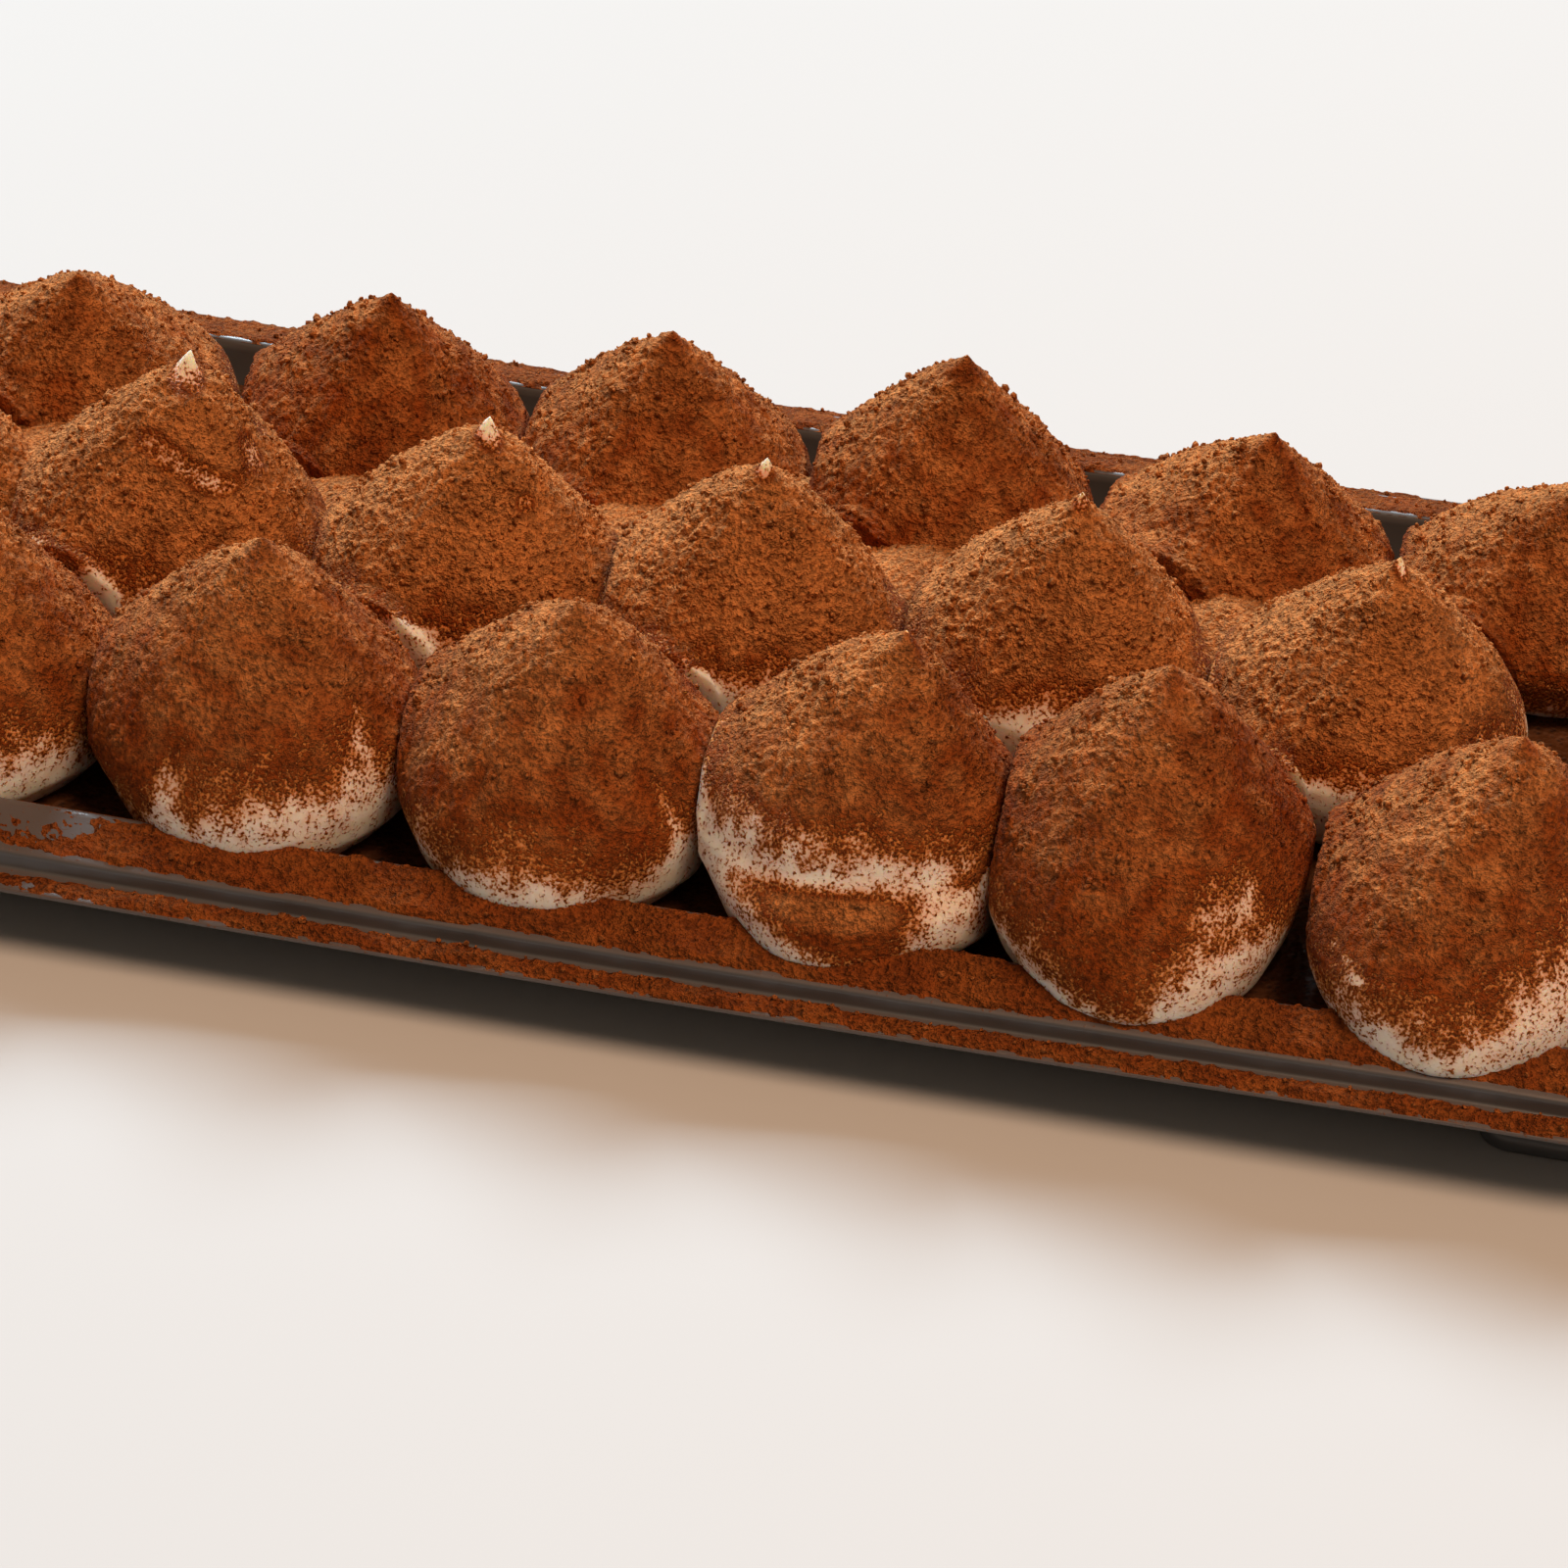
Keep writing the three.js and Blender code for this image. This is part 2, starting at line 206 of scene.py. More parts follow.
def clumps_and_painted_shade(tree, place, crust):
    """Height of the clumps, and a painted shade for the colour: below 1 in the pits and valleys,
    above 1 on the tops.
    """
    grains = add_node(tree, "TexNoise", "Fac", {
        "Vector": place, "Scale": per_size(CLUMP_MM), "Detail": 3.0, "Roughness": 0.6})
    # Painted shade: the colour darkens in the pits between clumps and turns paler on their tops.
    pits = add_node(tree, "MapRange", "Result", {
        "Value": grains, "From Min": 0.34, "From Max": 0.6, "To Min": 0.62, "To Max": 1.28},
        interpolation_type="SMOOTHSTEP")
    # Painted shade: the colour darkens in the valleys of the modelled crust.
    valleys = add_node(tree, "MapRange", "Result", {
        "Value": crust, "From Min": 0.02, "From Max": 0.35, "To Min": 0.75},
        interpolation_type="SMOOTHSTEP")
    patches = add_node(tree, "TexNoise", "Fac", {"Vector": place, "Scale": per_size(PATCH_MM)})
    patchy = add_node(tree, "MapRange", "Result", {
        "Value": patches, "From Min": 0.35, "From Max": 0.65, "To Min": 0.6},
        interpolation_type="SMOOTHSTEP")
    height = add_node(tree, "Math", 0, {0: grains, 1: patchy}, operation="MULTIPLY")
    light = add_node(tree, "Math", 0, {0: pits, 1: valleys}, operation="MULTIPLY")
    return height, light


def with_painted_shade(tree, colour, light):
    # Multiplies a colour by the painted shade of the clumps.
    grey = add_node(tree, "CombineColor", "Color", {0: light, 1: light, 2: light})
    return add_node(tree, "Mix", MIX_RESULT, {0: 1.0, MIX_A: colour, MIX_B: grey},
                    data_type="RGBA", blend_type="MULTIPLY")


print("cocoa clumps:", CLUMP_MM, "mm wide")

# %% [markdown]
# ### Sifted cocoa on mascarpone cream
# Where cocoa lies thin on moist cream it drinks in fat and water, so it turns redder and
# darker and stains the cream around it. Where it lies thick it stays dry, dusty and
# lighter. Bare cream is pale, soft and lets light through. Two materials would meet in a
# hard line, so one material holds both: the mesh carries how much cocoa lies at each
# point, and noise breaks its edge into specks. The IOR is that of milk fat, and the
# specular level is low, because a powder has no smooth faces.

# %% Cocoa and cream
SPECK_MM, DRIFT_MM, SHADE_MM = 0.5, 2.2, 6.0   # specks, drifts of specks, shades of cocoa
CREAM, STAINED_CREAM = linear("#FFF1E1"), linear("#D78642")
MOIST_COCOA = linear("#893D10"), linear("#944817")
DUSTY_COCOA = linear("#CA7C41"), linear("#D38549")


def cocoa_mask(tree, cover, speck, drift):
    """1 on cocoa and 0 on cream: the amount of cocoa, made ragged by specks and drifts."""
    drifts = add_node(tree, "Math", 0, {0: drift, 1: 0.9}, operation="MULTIPLY")
    raised = add_node(tree, "Math", 0, {0: speck, 1: 2.0, 2: drifts},
                      operation="MULTIPLY_ADD")
    centred = add_node(tree, "Math", 0, {0: raised, 1: 1.42}, operation="SUBTRACT")
    ragged = add_node(tree, "Math", 0, {0: cover, 1: centred}, operation="ADD")
    return add_node(tree, "MapRange", "Result", {
        "Value": ragged, "From Min": 0.2, "From Max": 0.85}, interpolation_type="SMOOTHSTEP")


def stained_cream(tree, cover, mask, drift):
    """Cream that turns orange near the cocoa and where a little cocoa lies on it."""
    thin = add_node(tree, "Math", 0, {0: drift, 1: 0.5, 2: cover}, operation="MULTIPLY_ADD")
    wet = add_node(tree, "Math", 0, {0: mask, 1: 1.1, 2: thin}, operation="MULTIPLY_ADD")
    stain = add_node(tree, "MapRange", "Result", {
        "Value": wet, "From Min": 0.17, "From Max": 0.9}, interpolation_type="SMOOTHSTEP")
    return add_node(tree, "Mix", MIX_RESULT, {0: stain, MIX_A: CREAM, MIX_B: STAINED_CREAM},
                    data_type="RGBA")


def cocoa_colour(tree, place, dry, light):
    """Moist or dry cocoa in slow shades, with the painted shade of its pits and crust valleys."""
    shade = add_node(tree, "TexNoise", "Fac", {
        "Vector": place, "Scale": per_size(SHADE_MM), "Detail": 3.0})
    tone = add_node(tree, "MapRange", "Result", {
        "Value": shade, "From Min": 0.35, "From Max": 0.65}, interpolation_type="SMOOTHSTEP")
    moist, dusty = (
        add_node(tree, "Mix", MIX_RESULT, {0: tone, MIX_A: dark, MIX_B: pale},
                 data_type="RGBA")
        for dark, pale in (MOIST_COCOA, DUSTY_COCOA))
    cocoa = add_node(tree, "Mix", MIX_RESULT, {0: dry, MIX_A: moist, MIX_B: dusty},
                     data_type="RGBA")
    return with_painted_shade(tree, cocoa, light)


def cocoa_cream():
    material, tree, shader, place = new_material(
        "sifted cocoa on mascarpone cream", IOR=1.45, Specular_IOR_Level=0.15,
        Subsurface_Scale=0.004, Subsurface_Radius=(1.0, 0.62, 0.36))
    cover, dry, crust = (
        add_node(tree, "Attribute", "Fac", {}, attribute_name=mark)
        for mark in ("cocoa", "dry", "crust"))
    speck = add_node(tree, "TexNoise", "Fac", {"Vector": place, "Scale": per_size(SPECK_MM)})
    drift = add_node(tree, "TexNoise", "Fac", {
        "Vector": place, "Scale": per_size(DRIFT_MM), "Detail": 3.0})
    mask = cocoa_mask(tree, cover, speck, drift)
    lumps, light = clumps_and_painted_shade(tree, place, crust)
    opaque = add_node(tree, "MapRange", "Result", {
        "Value": mask, "From Min": 0.1, "From Max": 1.0}, interpolation_type="SMOOTHSTEP")
    colour = add_node(tree, "Mix", MIX_RESULT, {
        0: opaque, MIX_A: stained_cream(tree, cover, mask, drift),
        MIX_B: cocoa_colour(tree, place, dry, light)}, data_type="RGBA")
    roughness = add_node(tree, "MapRange", "Result", {
        "Value": mask, "To Min": 0.42, "To Max": 0.92}, interpolation_type="SMOOTHSTEP")
    translucent = add_node(tree, "MapRange", "Result", {
        "Value": mask, "From Max": 0.6, "To Min": 0.7, "To Max": 0.0},
        interpolation_type="SMOOTHSTEP")

    # The clumps are drawn as bump, because they are finer than the mesh. Dry ones stand out.
    thick = add_node(tree, "Math", 0, {0: dry, 1: 0.25, 2: 0.75}, operation="MULTIPLY_ADD")
    covered = add_node(tree, "Math", 0, {0: mask, 1: thick}, operation="MULTIPLY")
    height = add_node(tree, "Math", 0, {0: lumps, 1: covered}, operation="MULTIPLY")
    normal = add_node(tree, "Bump", "Normal", {
        "Strength": 1.0, "Distance": CLUMP_BUMP_MM * MM, "Height": height})
    set_inputs(tree, shader, {"Base Color": colour, "Roughness": roughness,
                              "Subsurface Weight": translucent, "Normal": normal})
    return material


COCOA_CREAM = cocoa_cream()
print("material:", COCOA_CREAM.name)

# %% [markdown]
# ### Glaze, dusted
# The dish is stoneware dipped in a near-black glaze: glassy, so its IOR is 1.5, and
# smooth but not mirror-like where it is bare. A film of cocoa dust lies on what faces up,
# in specks too fine to be modelled. The glaze's colour is a dark grey, because in this
# light that reads as the near-black of the photograph.

# %% Glaze
DUST_SPECK_MM, CLOUD_MM, RIPPLE_MM = 0.6, 9.0, 5.0   # dust, shades and ripples of the glaze
GLAZE_DARK, GLAZE_PALE, DUST_COLOUR = linear("#4D4D4E"), linear("#565658"), linear("#70401F")


def dusted_glaze():
    material, tree, shader, place = new_material(
        "near-black glaze", IOR=1.5, Coat_Weight=0.1)
    dust = add_node(tree, "Attribute", "Fac", {}, attribute_name="dust")
    speck = add_node(tree, "TexNoise", "Fac", {
        "Vector": place, "Scale": per_size(DUST_SPECK_MM), "Detail": 3.0})
    specked = add_node(tree, "Math", 0, {0: dust, 1: speck}, operation="ADD")
    cover = add_node(tree, "MapRange", "Result", {
        "Value": specked, "From Min": 0.95, "From Max": 1.1}, interpolation_type="SMOOTHSTEP")
    film = add_node(tree, "Math", 0, {0: dust, 1: 0.45}, operation="MULTIPLY")
    share = add_node(tree, "Math", 0, {0: cover, 1: film}, operation="MAXIMUM")
    cloud = add_node(tree, "TexNoise", "Fac", {"Vector": place, "Scale": per_size(CLOUD_MM)})
    glaze = add_node(tree, "Mix", MIX_RESULT, {
        0: cloud, MIX_A: GLAZE_DARK, MIX_B: GLAZE_PALE}, data_type="RGBA")
    colour = add_node(tree, "Mix", MIX_RESULT, {
        0: share, MIX_A: glaze, MIX_B: DUST_COLOUR}, data_type="RGBA")
    roughness = add_node(tree, "MapRange", "Result", {
        "Value": share, "From Max": 0.6, "To Min": 0.34, "To Max": 0.85},
        interpolation_type="SMOOTHSTEP")
    ripple = add_node(tree, "TexNoise", "Fac", {"Vector": place, "Scale": per_size(RIPPLE_MM)})
    height = add_node(tree, "Math", 0, {0: cover, 1: ripple}, operation="ADD")
    normal = add_node(tree, "Bump", "Normal", {
        "Strength": 0.35, "Distance": 0.2 * MM, "Height": height})
    set_inputs(tree, shader, {"Base Color": colour, "Roughness": roughness, "Normal": normal})
    return material


GLAZE = dusted_glaze()
print("material:", GLAZE.name)

# %% [markdown]
# ### Soaked biscuit
# Sponge biscuit is a baked foam. Soaked in coffee its walls turn dark brown and shine a
# little with moisture, and its pores stay open. Cells of a Voronoi pattern, as wide as
# the pores, give the dents, and a painted shade that darkens each pore nearly to black.

# %% Soaked biscuit
PORE_MM, SOAKED_PATCH_MM = 1.1, 4.0    # pores, and patches that drank in more or less coffee


def soaked_crumb():
    material, tree, shader, place = new_material("coffee-soaked sponge biscuit", IOR=1.4)
    pores = add_node(tree, "TexVoronoi", "Distance", {
        "Vector": place, "Scale": per_size(PORE_MM)}, feature="F1")
    tone = add_node(tree, "TexNoise", "Fac", {
        "Vector": place, "Scale": per_size(SOAKED_PATCH_MM), "Detail": 4.0})
    wall = add_node(tree, "Mix", MIX_RESULT, {
        0: tone, MIX_A: linear("#2A1509"), MIX_B: linear("#6B3D1A")}, data_type="RGBA")
    # Painted shade: the middle of each pore is darkened nearly to black.
    pore_shade = add_node(tree, "MapRange", "Result", {
        "Value": pores, "From Min": 0.1, "From Max": 0.45, "To Min": 0.7, "To Max": 0.0},
        interpolation_type="SMOOTHSTEP")
    colour = add_node(tree, "Mix", MIX_RESULT, {
        0: pore_shade, MIX_A: wall, MIX_B: linear("#140A05")}, data_type="RGBA")
    roughness = add_node(tree, "MapRange", "Result", {
        "Value": tone, "From Min": 0.3, "From Max": 0.7, "To Min": 0.35, "To Max": 0.7},
        interpolation_type="SMOOTHSTEP")
    normal = add_node(tree, "Bump", "Normal", {
        "Strength": 0.7, "Distance": 0.5 * MM, "Height": pores})
    set_inputs(tree, shader, {"Base Color": colour, "Roughness": roughness, "Normal": normal})
    return material


SOAKED_CRUMB = soaked_crumb()
print("material:", SOAKED_CRUMB.name)

# %% [markdown]
# ### Heaped cocoa
# On the rim the cocoa lies in a thick dry layer of its own: the same powder with the same
# clumps, but with no cream to shine through it and no moisture to darken it.

# %% Loose cocoa
def loose_cocoa():
    material, tree, shader, place = new_material(
        "dry sifted cocoa", IOR=1.45, Specular_IOR_Level=0.15, Roughness=0.95)
    crust = add_node(tree, "Attribute", "Fac", {}, attribute_name="crust")
    shade = add_node(tree, "TexNoise", "Fac", {
        "Vector": place, "Scale": per_size(SHADE_MM), "Detail": 3.0})
    tone = add_node(tree, "MapRange", "Result", {
        "Value": shade, "From Min": 0.35, "From Max": 0.65}, interpolation_type="SMOOTHSTEP")
    cocoa = add_node(tree, "Mix", MIX_RESULT, {
        0: tone, MIX_A: linear("#8C4519"), MIX_B: linear("#9A5322")}, data_type="RGBA")
    lumps, light = clumps_and_painted_shade(tree, place, crust)
    normal = add_node(tree, "Bump", "Normal", {
        "Strength": 1.0, "Distance": CLUMP_BUMP_MM * MM, "Height": lumps})
    # The base colour carries the painted shade of the clumps: darker in pits and valleys, paler
    # on tops.
    set_inputs(tree, shader, {"Base Color": with_painted_shade(tree, cocoa, light), "Normal": normal})
    return material


LOOSE_COCOA = loose_cocoa()
print("material:", LOOSE_COCOA.name)

# %% [markdown]
# ## Dollops
# A dollop is one press of a piping bag with a wide plain nozzle: a round foot, a belly,
# and a point where the bag was pulled away. It could be sculpted, or revolved and pushed
# about with a lattice. Here the CAD's own form is worked out again from the same sizes,
# but as a smooth surface, so that it stands where its solid does.

# %% Sizes of the dollops, in millimetres
BISCUIT_TOP, DOLLOP_BASE = 11.0, 11.3

# Share of the height, then of the radius on a slim and on a plump dollop.
PROFILE = np.array([
    (0, 0.9, 0.9), (0.1, 1, 1), (0.21, 0.985, 0.985), (0.34, 0.88, 0.91),
    (0.48, 0.725, 0.785), (0.62, 0.54, 0.62), (0.75, 0.35, 0.445), (0.86, 0.19, 0.275),
    (0.94, 0.08, 0.125), (0.98, 0.03, 0.045), (1, 0, 0),
])
SLIM, PLUMP = 1, 2                 # columns of the profile

# Row: radius, plumpness, lag of the shoulders, side that faces out, then foot, tip, sag.
ROWS = {
    "front": (27.0, 1.0, 2.0, -1, [
        ((-134, -43), (-132, -43.5, 51), 0.02), ((-89, -43), (-91.2, -42, 52.2), 0.1),
        ((-42.8, -43), (-43.1, -44.4, 53.2), 0.03), ((2.2, -43), (3, -45.7, 51.8), 0.06),
        ((45, -43), (49.2, -42.4, 53.1), 0.06), ((87, -43), (86.8, -42.9, 54.3), 0.17),
        ((133.5, -43), (136.2, -43.4, 51), 0.19)]),
    "middle": (26.5, 0.45, 2.0, 0, [
        ((-114, 0), (-113, 0, 50.5), 0), ((-68.5, -0.5), (-67, 1.9, 53.5), 0),
        ((-22.5, -0.5), (-21.1, 0.2, 51.3), 0), ((20, 2), (20.4, 0.5, 51.3), 0),
        ((65.8, 3.5), (66.7, 1.9, 52.5), 0), ((111.5, 1), (113.5, 0, 50.4), 0)]),
    "back": (25.5, 0.1, 3.5, 1, [
        ((-135, 41.5), (-137.5, 38, 45.8), 0.03), ((-92, 39), (-94.1, 34.1, 44.2), 0.16),
        ((-45.5, 42), (-46, 38.8, 46.6), 0.02), ((-1.5, 42.5), (-2.2, 39.2, 47.3), 0.08),
        ((43, 43.5), (42.5, 41.6, 49.2), 0.05), ((88, 40.5), (90.2, 38, 45.5), 0.12),
        ((134, 41.5), (136.8, 35.9, 45), 0.04)]),
}
DOLLOPS = [
    {"name": f"dollop_{row}_{i + 1}", "row": row, "radius": radius, "plump": plump,
     "lag": lag, "outward": outward, "foot": np.array(foot, float),
     "tip": np.array(tip, float), "sag": sag, "lobe": row_number * len(dollops) + i}
    for row_number, (row, (radius, plump, lag, outward, dollops)) in enumerate(ROWS.items())
    for i, (foot, tip, sag) in enumerate(dollops)
]
print("dollops:", {row: len(sizes[-1]) for row, sizes in ROWS.items()})

# %% [markdown]
# ### Form of a dollop
# The form is a radius for every height and direction. It swells where it sags outwards,
# draws in at its foot, and has a soft minimum against the mid-plane towards each
# neighbour, because they were pressed flat against each other.

# %% Smooth curve through a table
def through(table, at, column=1):
    """A smooth curve through a table's points, never past its neighbours."""
    x, y = table[:, 0], table[:, column]
    step = np.diff(y) / np.diff(x)
    slope = np.zeros(len(x))
    same = step[1:] * step[:-1] > 0
    slope[1:-1][same] = 2 / (1 / step[1:][same] + 1 / step[:-1][same])
    slope[-1] = step[-1]
    i = np.clip(np.searchsorted(x, at) - 1, 0, len(x) - 2)
    width = x[i + 1] - x[i]
    t = (at - x[i]) / width
    return ((1 + 2 * t) * (1 - t) ** 2 * y[i] + t * (1 - t) ** 2 * width * slope[i]
            + t * t * (3 - 2 * t) * y[i + 1] + t * t * (t - 1) * width * slope[i + 1])


print("share of the radius half way up:", through(PROFILE, np.array([0.5]), PLUMP).round(3))

# %% Form of a dollop
PRESS_SHARPNESS, UNEVENNESS, TIP_DRAW = 40, 0.018, 2.2
OVERLAP = 0.05                     # mm that neighbours sink into each other
TUCK, TUCK_TOP = (0.27, 0.16), 0.32    # how much the underside draws in, left and right
TUCKS = {"dollop_front_5": (0.5, 0.08), "dollop_front_6": (0.3, 0.27)}
PEAK = {"front": 0.2, "middle": 0.42, "back": 0.1}   # how much slimmer the drawn tip is
PEAK_LEVELS = (0.84, 0.95)         # shares of the height between which it gets slimmer
FOLD = {"dollop_front_5": 0.07}    # a skirt of cream below a crease on the outer side
FOLD_SHAPE = np.array([(0, 0), (0.1, 1), (0.21, 0.9), (0.34, -1), (0.48, 0), (1, 0)])
LEAST = 1e-3                       # keeps a radius or a share off zero


def dollop_axis(dollop, level):
    """Middle of a dollop at shares of its height, as it leans over to its tip."""
    lean = (dollop["tip"][:2] - dollop["foot"])[:, None] * level ** TIP_DRAW
    lag = dollop["lag"] * np.sin(np.pi * level)
    return dollop["foot"][0] + lean[0] - lag, dollop["foot"][1] + lean[1]


def free_reach(dollop, level, angle):
    """Radius in mm, before the neighbours press on it."""
    share = (through(PROFILE, level, SLIM) * (1 - dollop["plump"])
             + through(PROFILE, level, PLUMP) * dollop["plump"])
    share = share * (1 - PEAK[dollop["row"]] * smooth_step(*PEAK_LEVELS, level))
    facing = np.maximum(0, np.sin(angle) * dollop["outward"]) ** 2
    lobes = (np.sin(2 * angle + dollop["lobe"]) + np.sin(3 * angle + 2.3 * dollop["lobe"]))
    fold = FOLD.get(dollop["name"], 0) * through(FOLD_SHAPE, level)
    left, right = TUCKS.get(dollop["name"], TUCK)
    tuck = (left + (right - left) * (1 + np.cos(angle)) / 2) * (1 - facing ** 2) * np.maximum(
        0, 1 - level / TUCK_TOP)
    reach = dollop["radius"] * share * (
        1 + (dollop["sag"] + fold) * facing + UNEVENNESS * lobes - tuck)
    return np.maximum(reach, LEAST)


def dollop_point(dollop, level, angle):
    """Places on a dollop's surface at shares of its height and directions."""
    x, y = dollop_axis(dollop, level)
    dx, dy = np.cos(angle), np.sin(angle)
    reach = free_reach(dollop, level, angle)
    for other in DOLLOPS:
        across = other["foot"] - dollop["foot"]
        distance = np.hypot(*across)
        if other is dollop or distance > dollop["radius"] + other["radius"]:
            continue
        across /= distance
        towards = across[0] * dx + across[1] * dy
        shift = (x - dollop["foot"][0]) * across[0] + (y - dollop["foot"][1]) * across[1]
        wall = (distance / 2 + OVERLAP - shift) / np.maximum(towards, LEAST)
        reach = (reach ** -PRESS_SHARPNESS + wall ** -PRESS_SHARPNESS) ** (
            -1 / PRESS_SHARPNESS)
    return np.stack([x + reach * dx, y + reach * dy,
                     DOLLOP_BASE + (dollop["tip"][2] - DOLLOP_BASE) * level], axis=-1)


belly = dollop_point(DOLLOPS[3], np.full(2, 0.1), np.array([0, np.pi]))
print("width of", DOLLOPS[3]["name"], "in mm:", round(math.dist(*belly), 1))

# %% [markdown]
# ### Rings over a dollop
# A grid of equal rows and columns would crowd its points at the tip. So a ring of points
# runs round the dollop every few tenths of a millimetre, and where a ring gets small it
# has half as many points as the ring below.

# %% Rings of points over a dollop
POINT_STEP = 0.38                  # mm between points
LEVEL_COUNT = 2000                 # fine steps used only to space the rings
HALVINGS = 4                       # times at least that a ring's count can be halved
HALVE_BELOW = 0.62                 # share of the step below which a ring gets half as many
HALVE_ABOVE = 24                   # a ring with no more points than this is left as it is


def ring_plan(dollop):
    """Levels of the rings, evenly spaced along the outline, and the points in each."""
    level = np.linspace(0, 1, LEVEL_COUNT)
    radius = dollop["radius"] * through(PROFILE, level, PLUMP)
    height = (dollop["tip"][2] - DOLLOP_BASE) * level
    along = np.concatenate([[0], np.cumsum(np.hypot(np.diff(radius), np.diff(height)))])
    rings = np.interp(np.arange(0, along[-1] - POINT_STEP / 2, POINT_STEP), along, level)
    evenly = 2 ** HALVINGS
    count = evenly * round(2 * np.pi * dollop["radius"] / POINT_STEP / evenly)
    counts = []
    for r in np.interp(rings, level, radius):
        while (count > HALVE_ABOVE and count % 2 == 0
               and 2 * np.pi * r / count < POINT_STEP * HALVE_BELOW):
            count //= 2
        counts.append(count)
    return rings, counts


def fan(first, count, middle, up=True):
    """Triangles between a ring of points and one middle point, facing up or down."""
    here = first + np.arange(count)
    after = first + (np.arange(count) + 1) % count
    pair = (here, after) if up else (after, here)
    return np.stack([*pair, np.full(count, middle)], 1).tolist()


def ring_faces(counts, tip):
    """Quads between equal rings, triangles where a ring has half as many points."""
    faces, first = [], 0
    for lower, upper in zip(counts, counts[1:]):
        above = first + lower
        k = np.arange(upper)
        after = (k + 1) % upper
        if lower == upper:
            faces += np.stack([first + k, first + after, above + after, above + k],
                              1).tolist()
        else:
            a, b, c = first + 2 * k, first + 2 * k + 1, first + (2 * k + 2) % lower
            for triangle in ((a, b, above + k), (b, above + after, above + k),
                             (b, c, above + after)):
                faces += np.stack(triangle, 1).tolist()
        first = above
    return faces + fan(first, counts[-1], tip)


plan = ring_plan(DOLLOPS[0])[1]
print("rings:", len(plan), "with", plan[0], "points at the foot and", plan[-1], "at the tip")

# %% [markdown]
# ## Where the cocoa lies
# Cocoa is sifted from above, so it covers all that faces up and stops somewhere on the
# belly, at a height that wanders round each dollop. It could be painted by hand; a table
# is easier to mend. For each dollop the table gives that height for some directions round
# its foot, counted from +X. Then come single bare spots, and spots of cocoa below the
# edge, each as direction, height, half width, half height and how much cocoa it takes
# away (or, below zero, adds).

# %% Cocoa edges and bare spots
COCOA_EDGE = {
    "dollop_front_2": [(-120, 21), (-90, 23), (-58, 24.2), (-47, 24.1), (-31, 23), (-15, 20)],
    "dollop_front_3": [(-150, 17), (-130, 18), (-118, 16.5), (-112, 20), (-107, 25.5),
                       (-99, 24.5), (-95, 20.9), (-91, 23.7), (-80, 24.9), (-61, 26.2),
                       (-48, 26.2), (-42, 28.6), (-30, 27.5), (-20, 21.5)],
    "dollop_front_4": [(-150, 20), (-127, 20.8), (-116, 20.6), (-108, 21.5), (-92, 23),
                       (-77, 22.2), (-66, 20.7), (-51, 19.9), (-44, 22.4), (-37, 25.4),
                       (-27, 23.2), (-10, 21)],
    "dollop_front_5": [(-150, 31), (-134, 31.5), (-118, 31), (-100, 31.5), (-82, 31),
                       (-62, 29.8), (-39, 28.5), (-24, 25), (0, 22)],
    "dollop_front_6": [(-150, 23), (-126, 23.2), (-115, 21.5), (-105, 21), (-95, 18),
                       (-88, 16.7), (-81, 17.8), (-78, 21.6), (-73, 24.5), (-66, 27),
                       (-55, 27), (-44, 25.8), (-33, 24), (-15, 21)],
    "dollop_front_7": [(-148, 20.5), (-133, 22), (-115, 23.5), (-106, 24), (-98, 22.9),
                       (-89, 21.8), (-79, 22.8), (-71, 26), (-64, 30), (-57, 31.5),
                       (-30, 29), (0, 23)],
    "dollop_middle_2": [(-140, 26.3), (-115, 25.4), (-109, 24), (-100, 25.7), (-86, 26.2),
                        (-79, 28), (-40, 24)],
    "dollop_middle_3": [(-140, 24.9), (-107, 25.1), (-102, 26.5), (-93, 27.1), (-87, 28.9),
                        (-40, 24)],
    "dollop_middle_4": [(-140, 24.5), (-105, 25.2), (-99, 25), (-93, 26.4), (-86, 26.2),
                        (-40, 24)],
    "dollop_middle_5": [(-140, 26.4), (-109, 26.2), (-102, 26.3), (-95, 27.2), (-87, 29),
                        (-79, 30.6), (-40, 24)],
    "dollop_middle_6": [(-140, 24.7), (-103, 23.6), (-95, 24.3), (-86, 26.1), (-40, 24)],
}
PLAIN_EDGE = [(-120, 16), (-60, 15.5), (30, 17), (120, 19)]
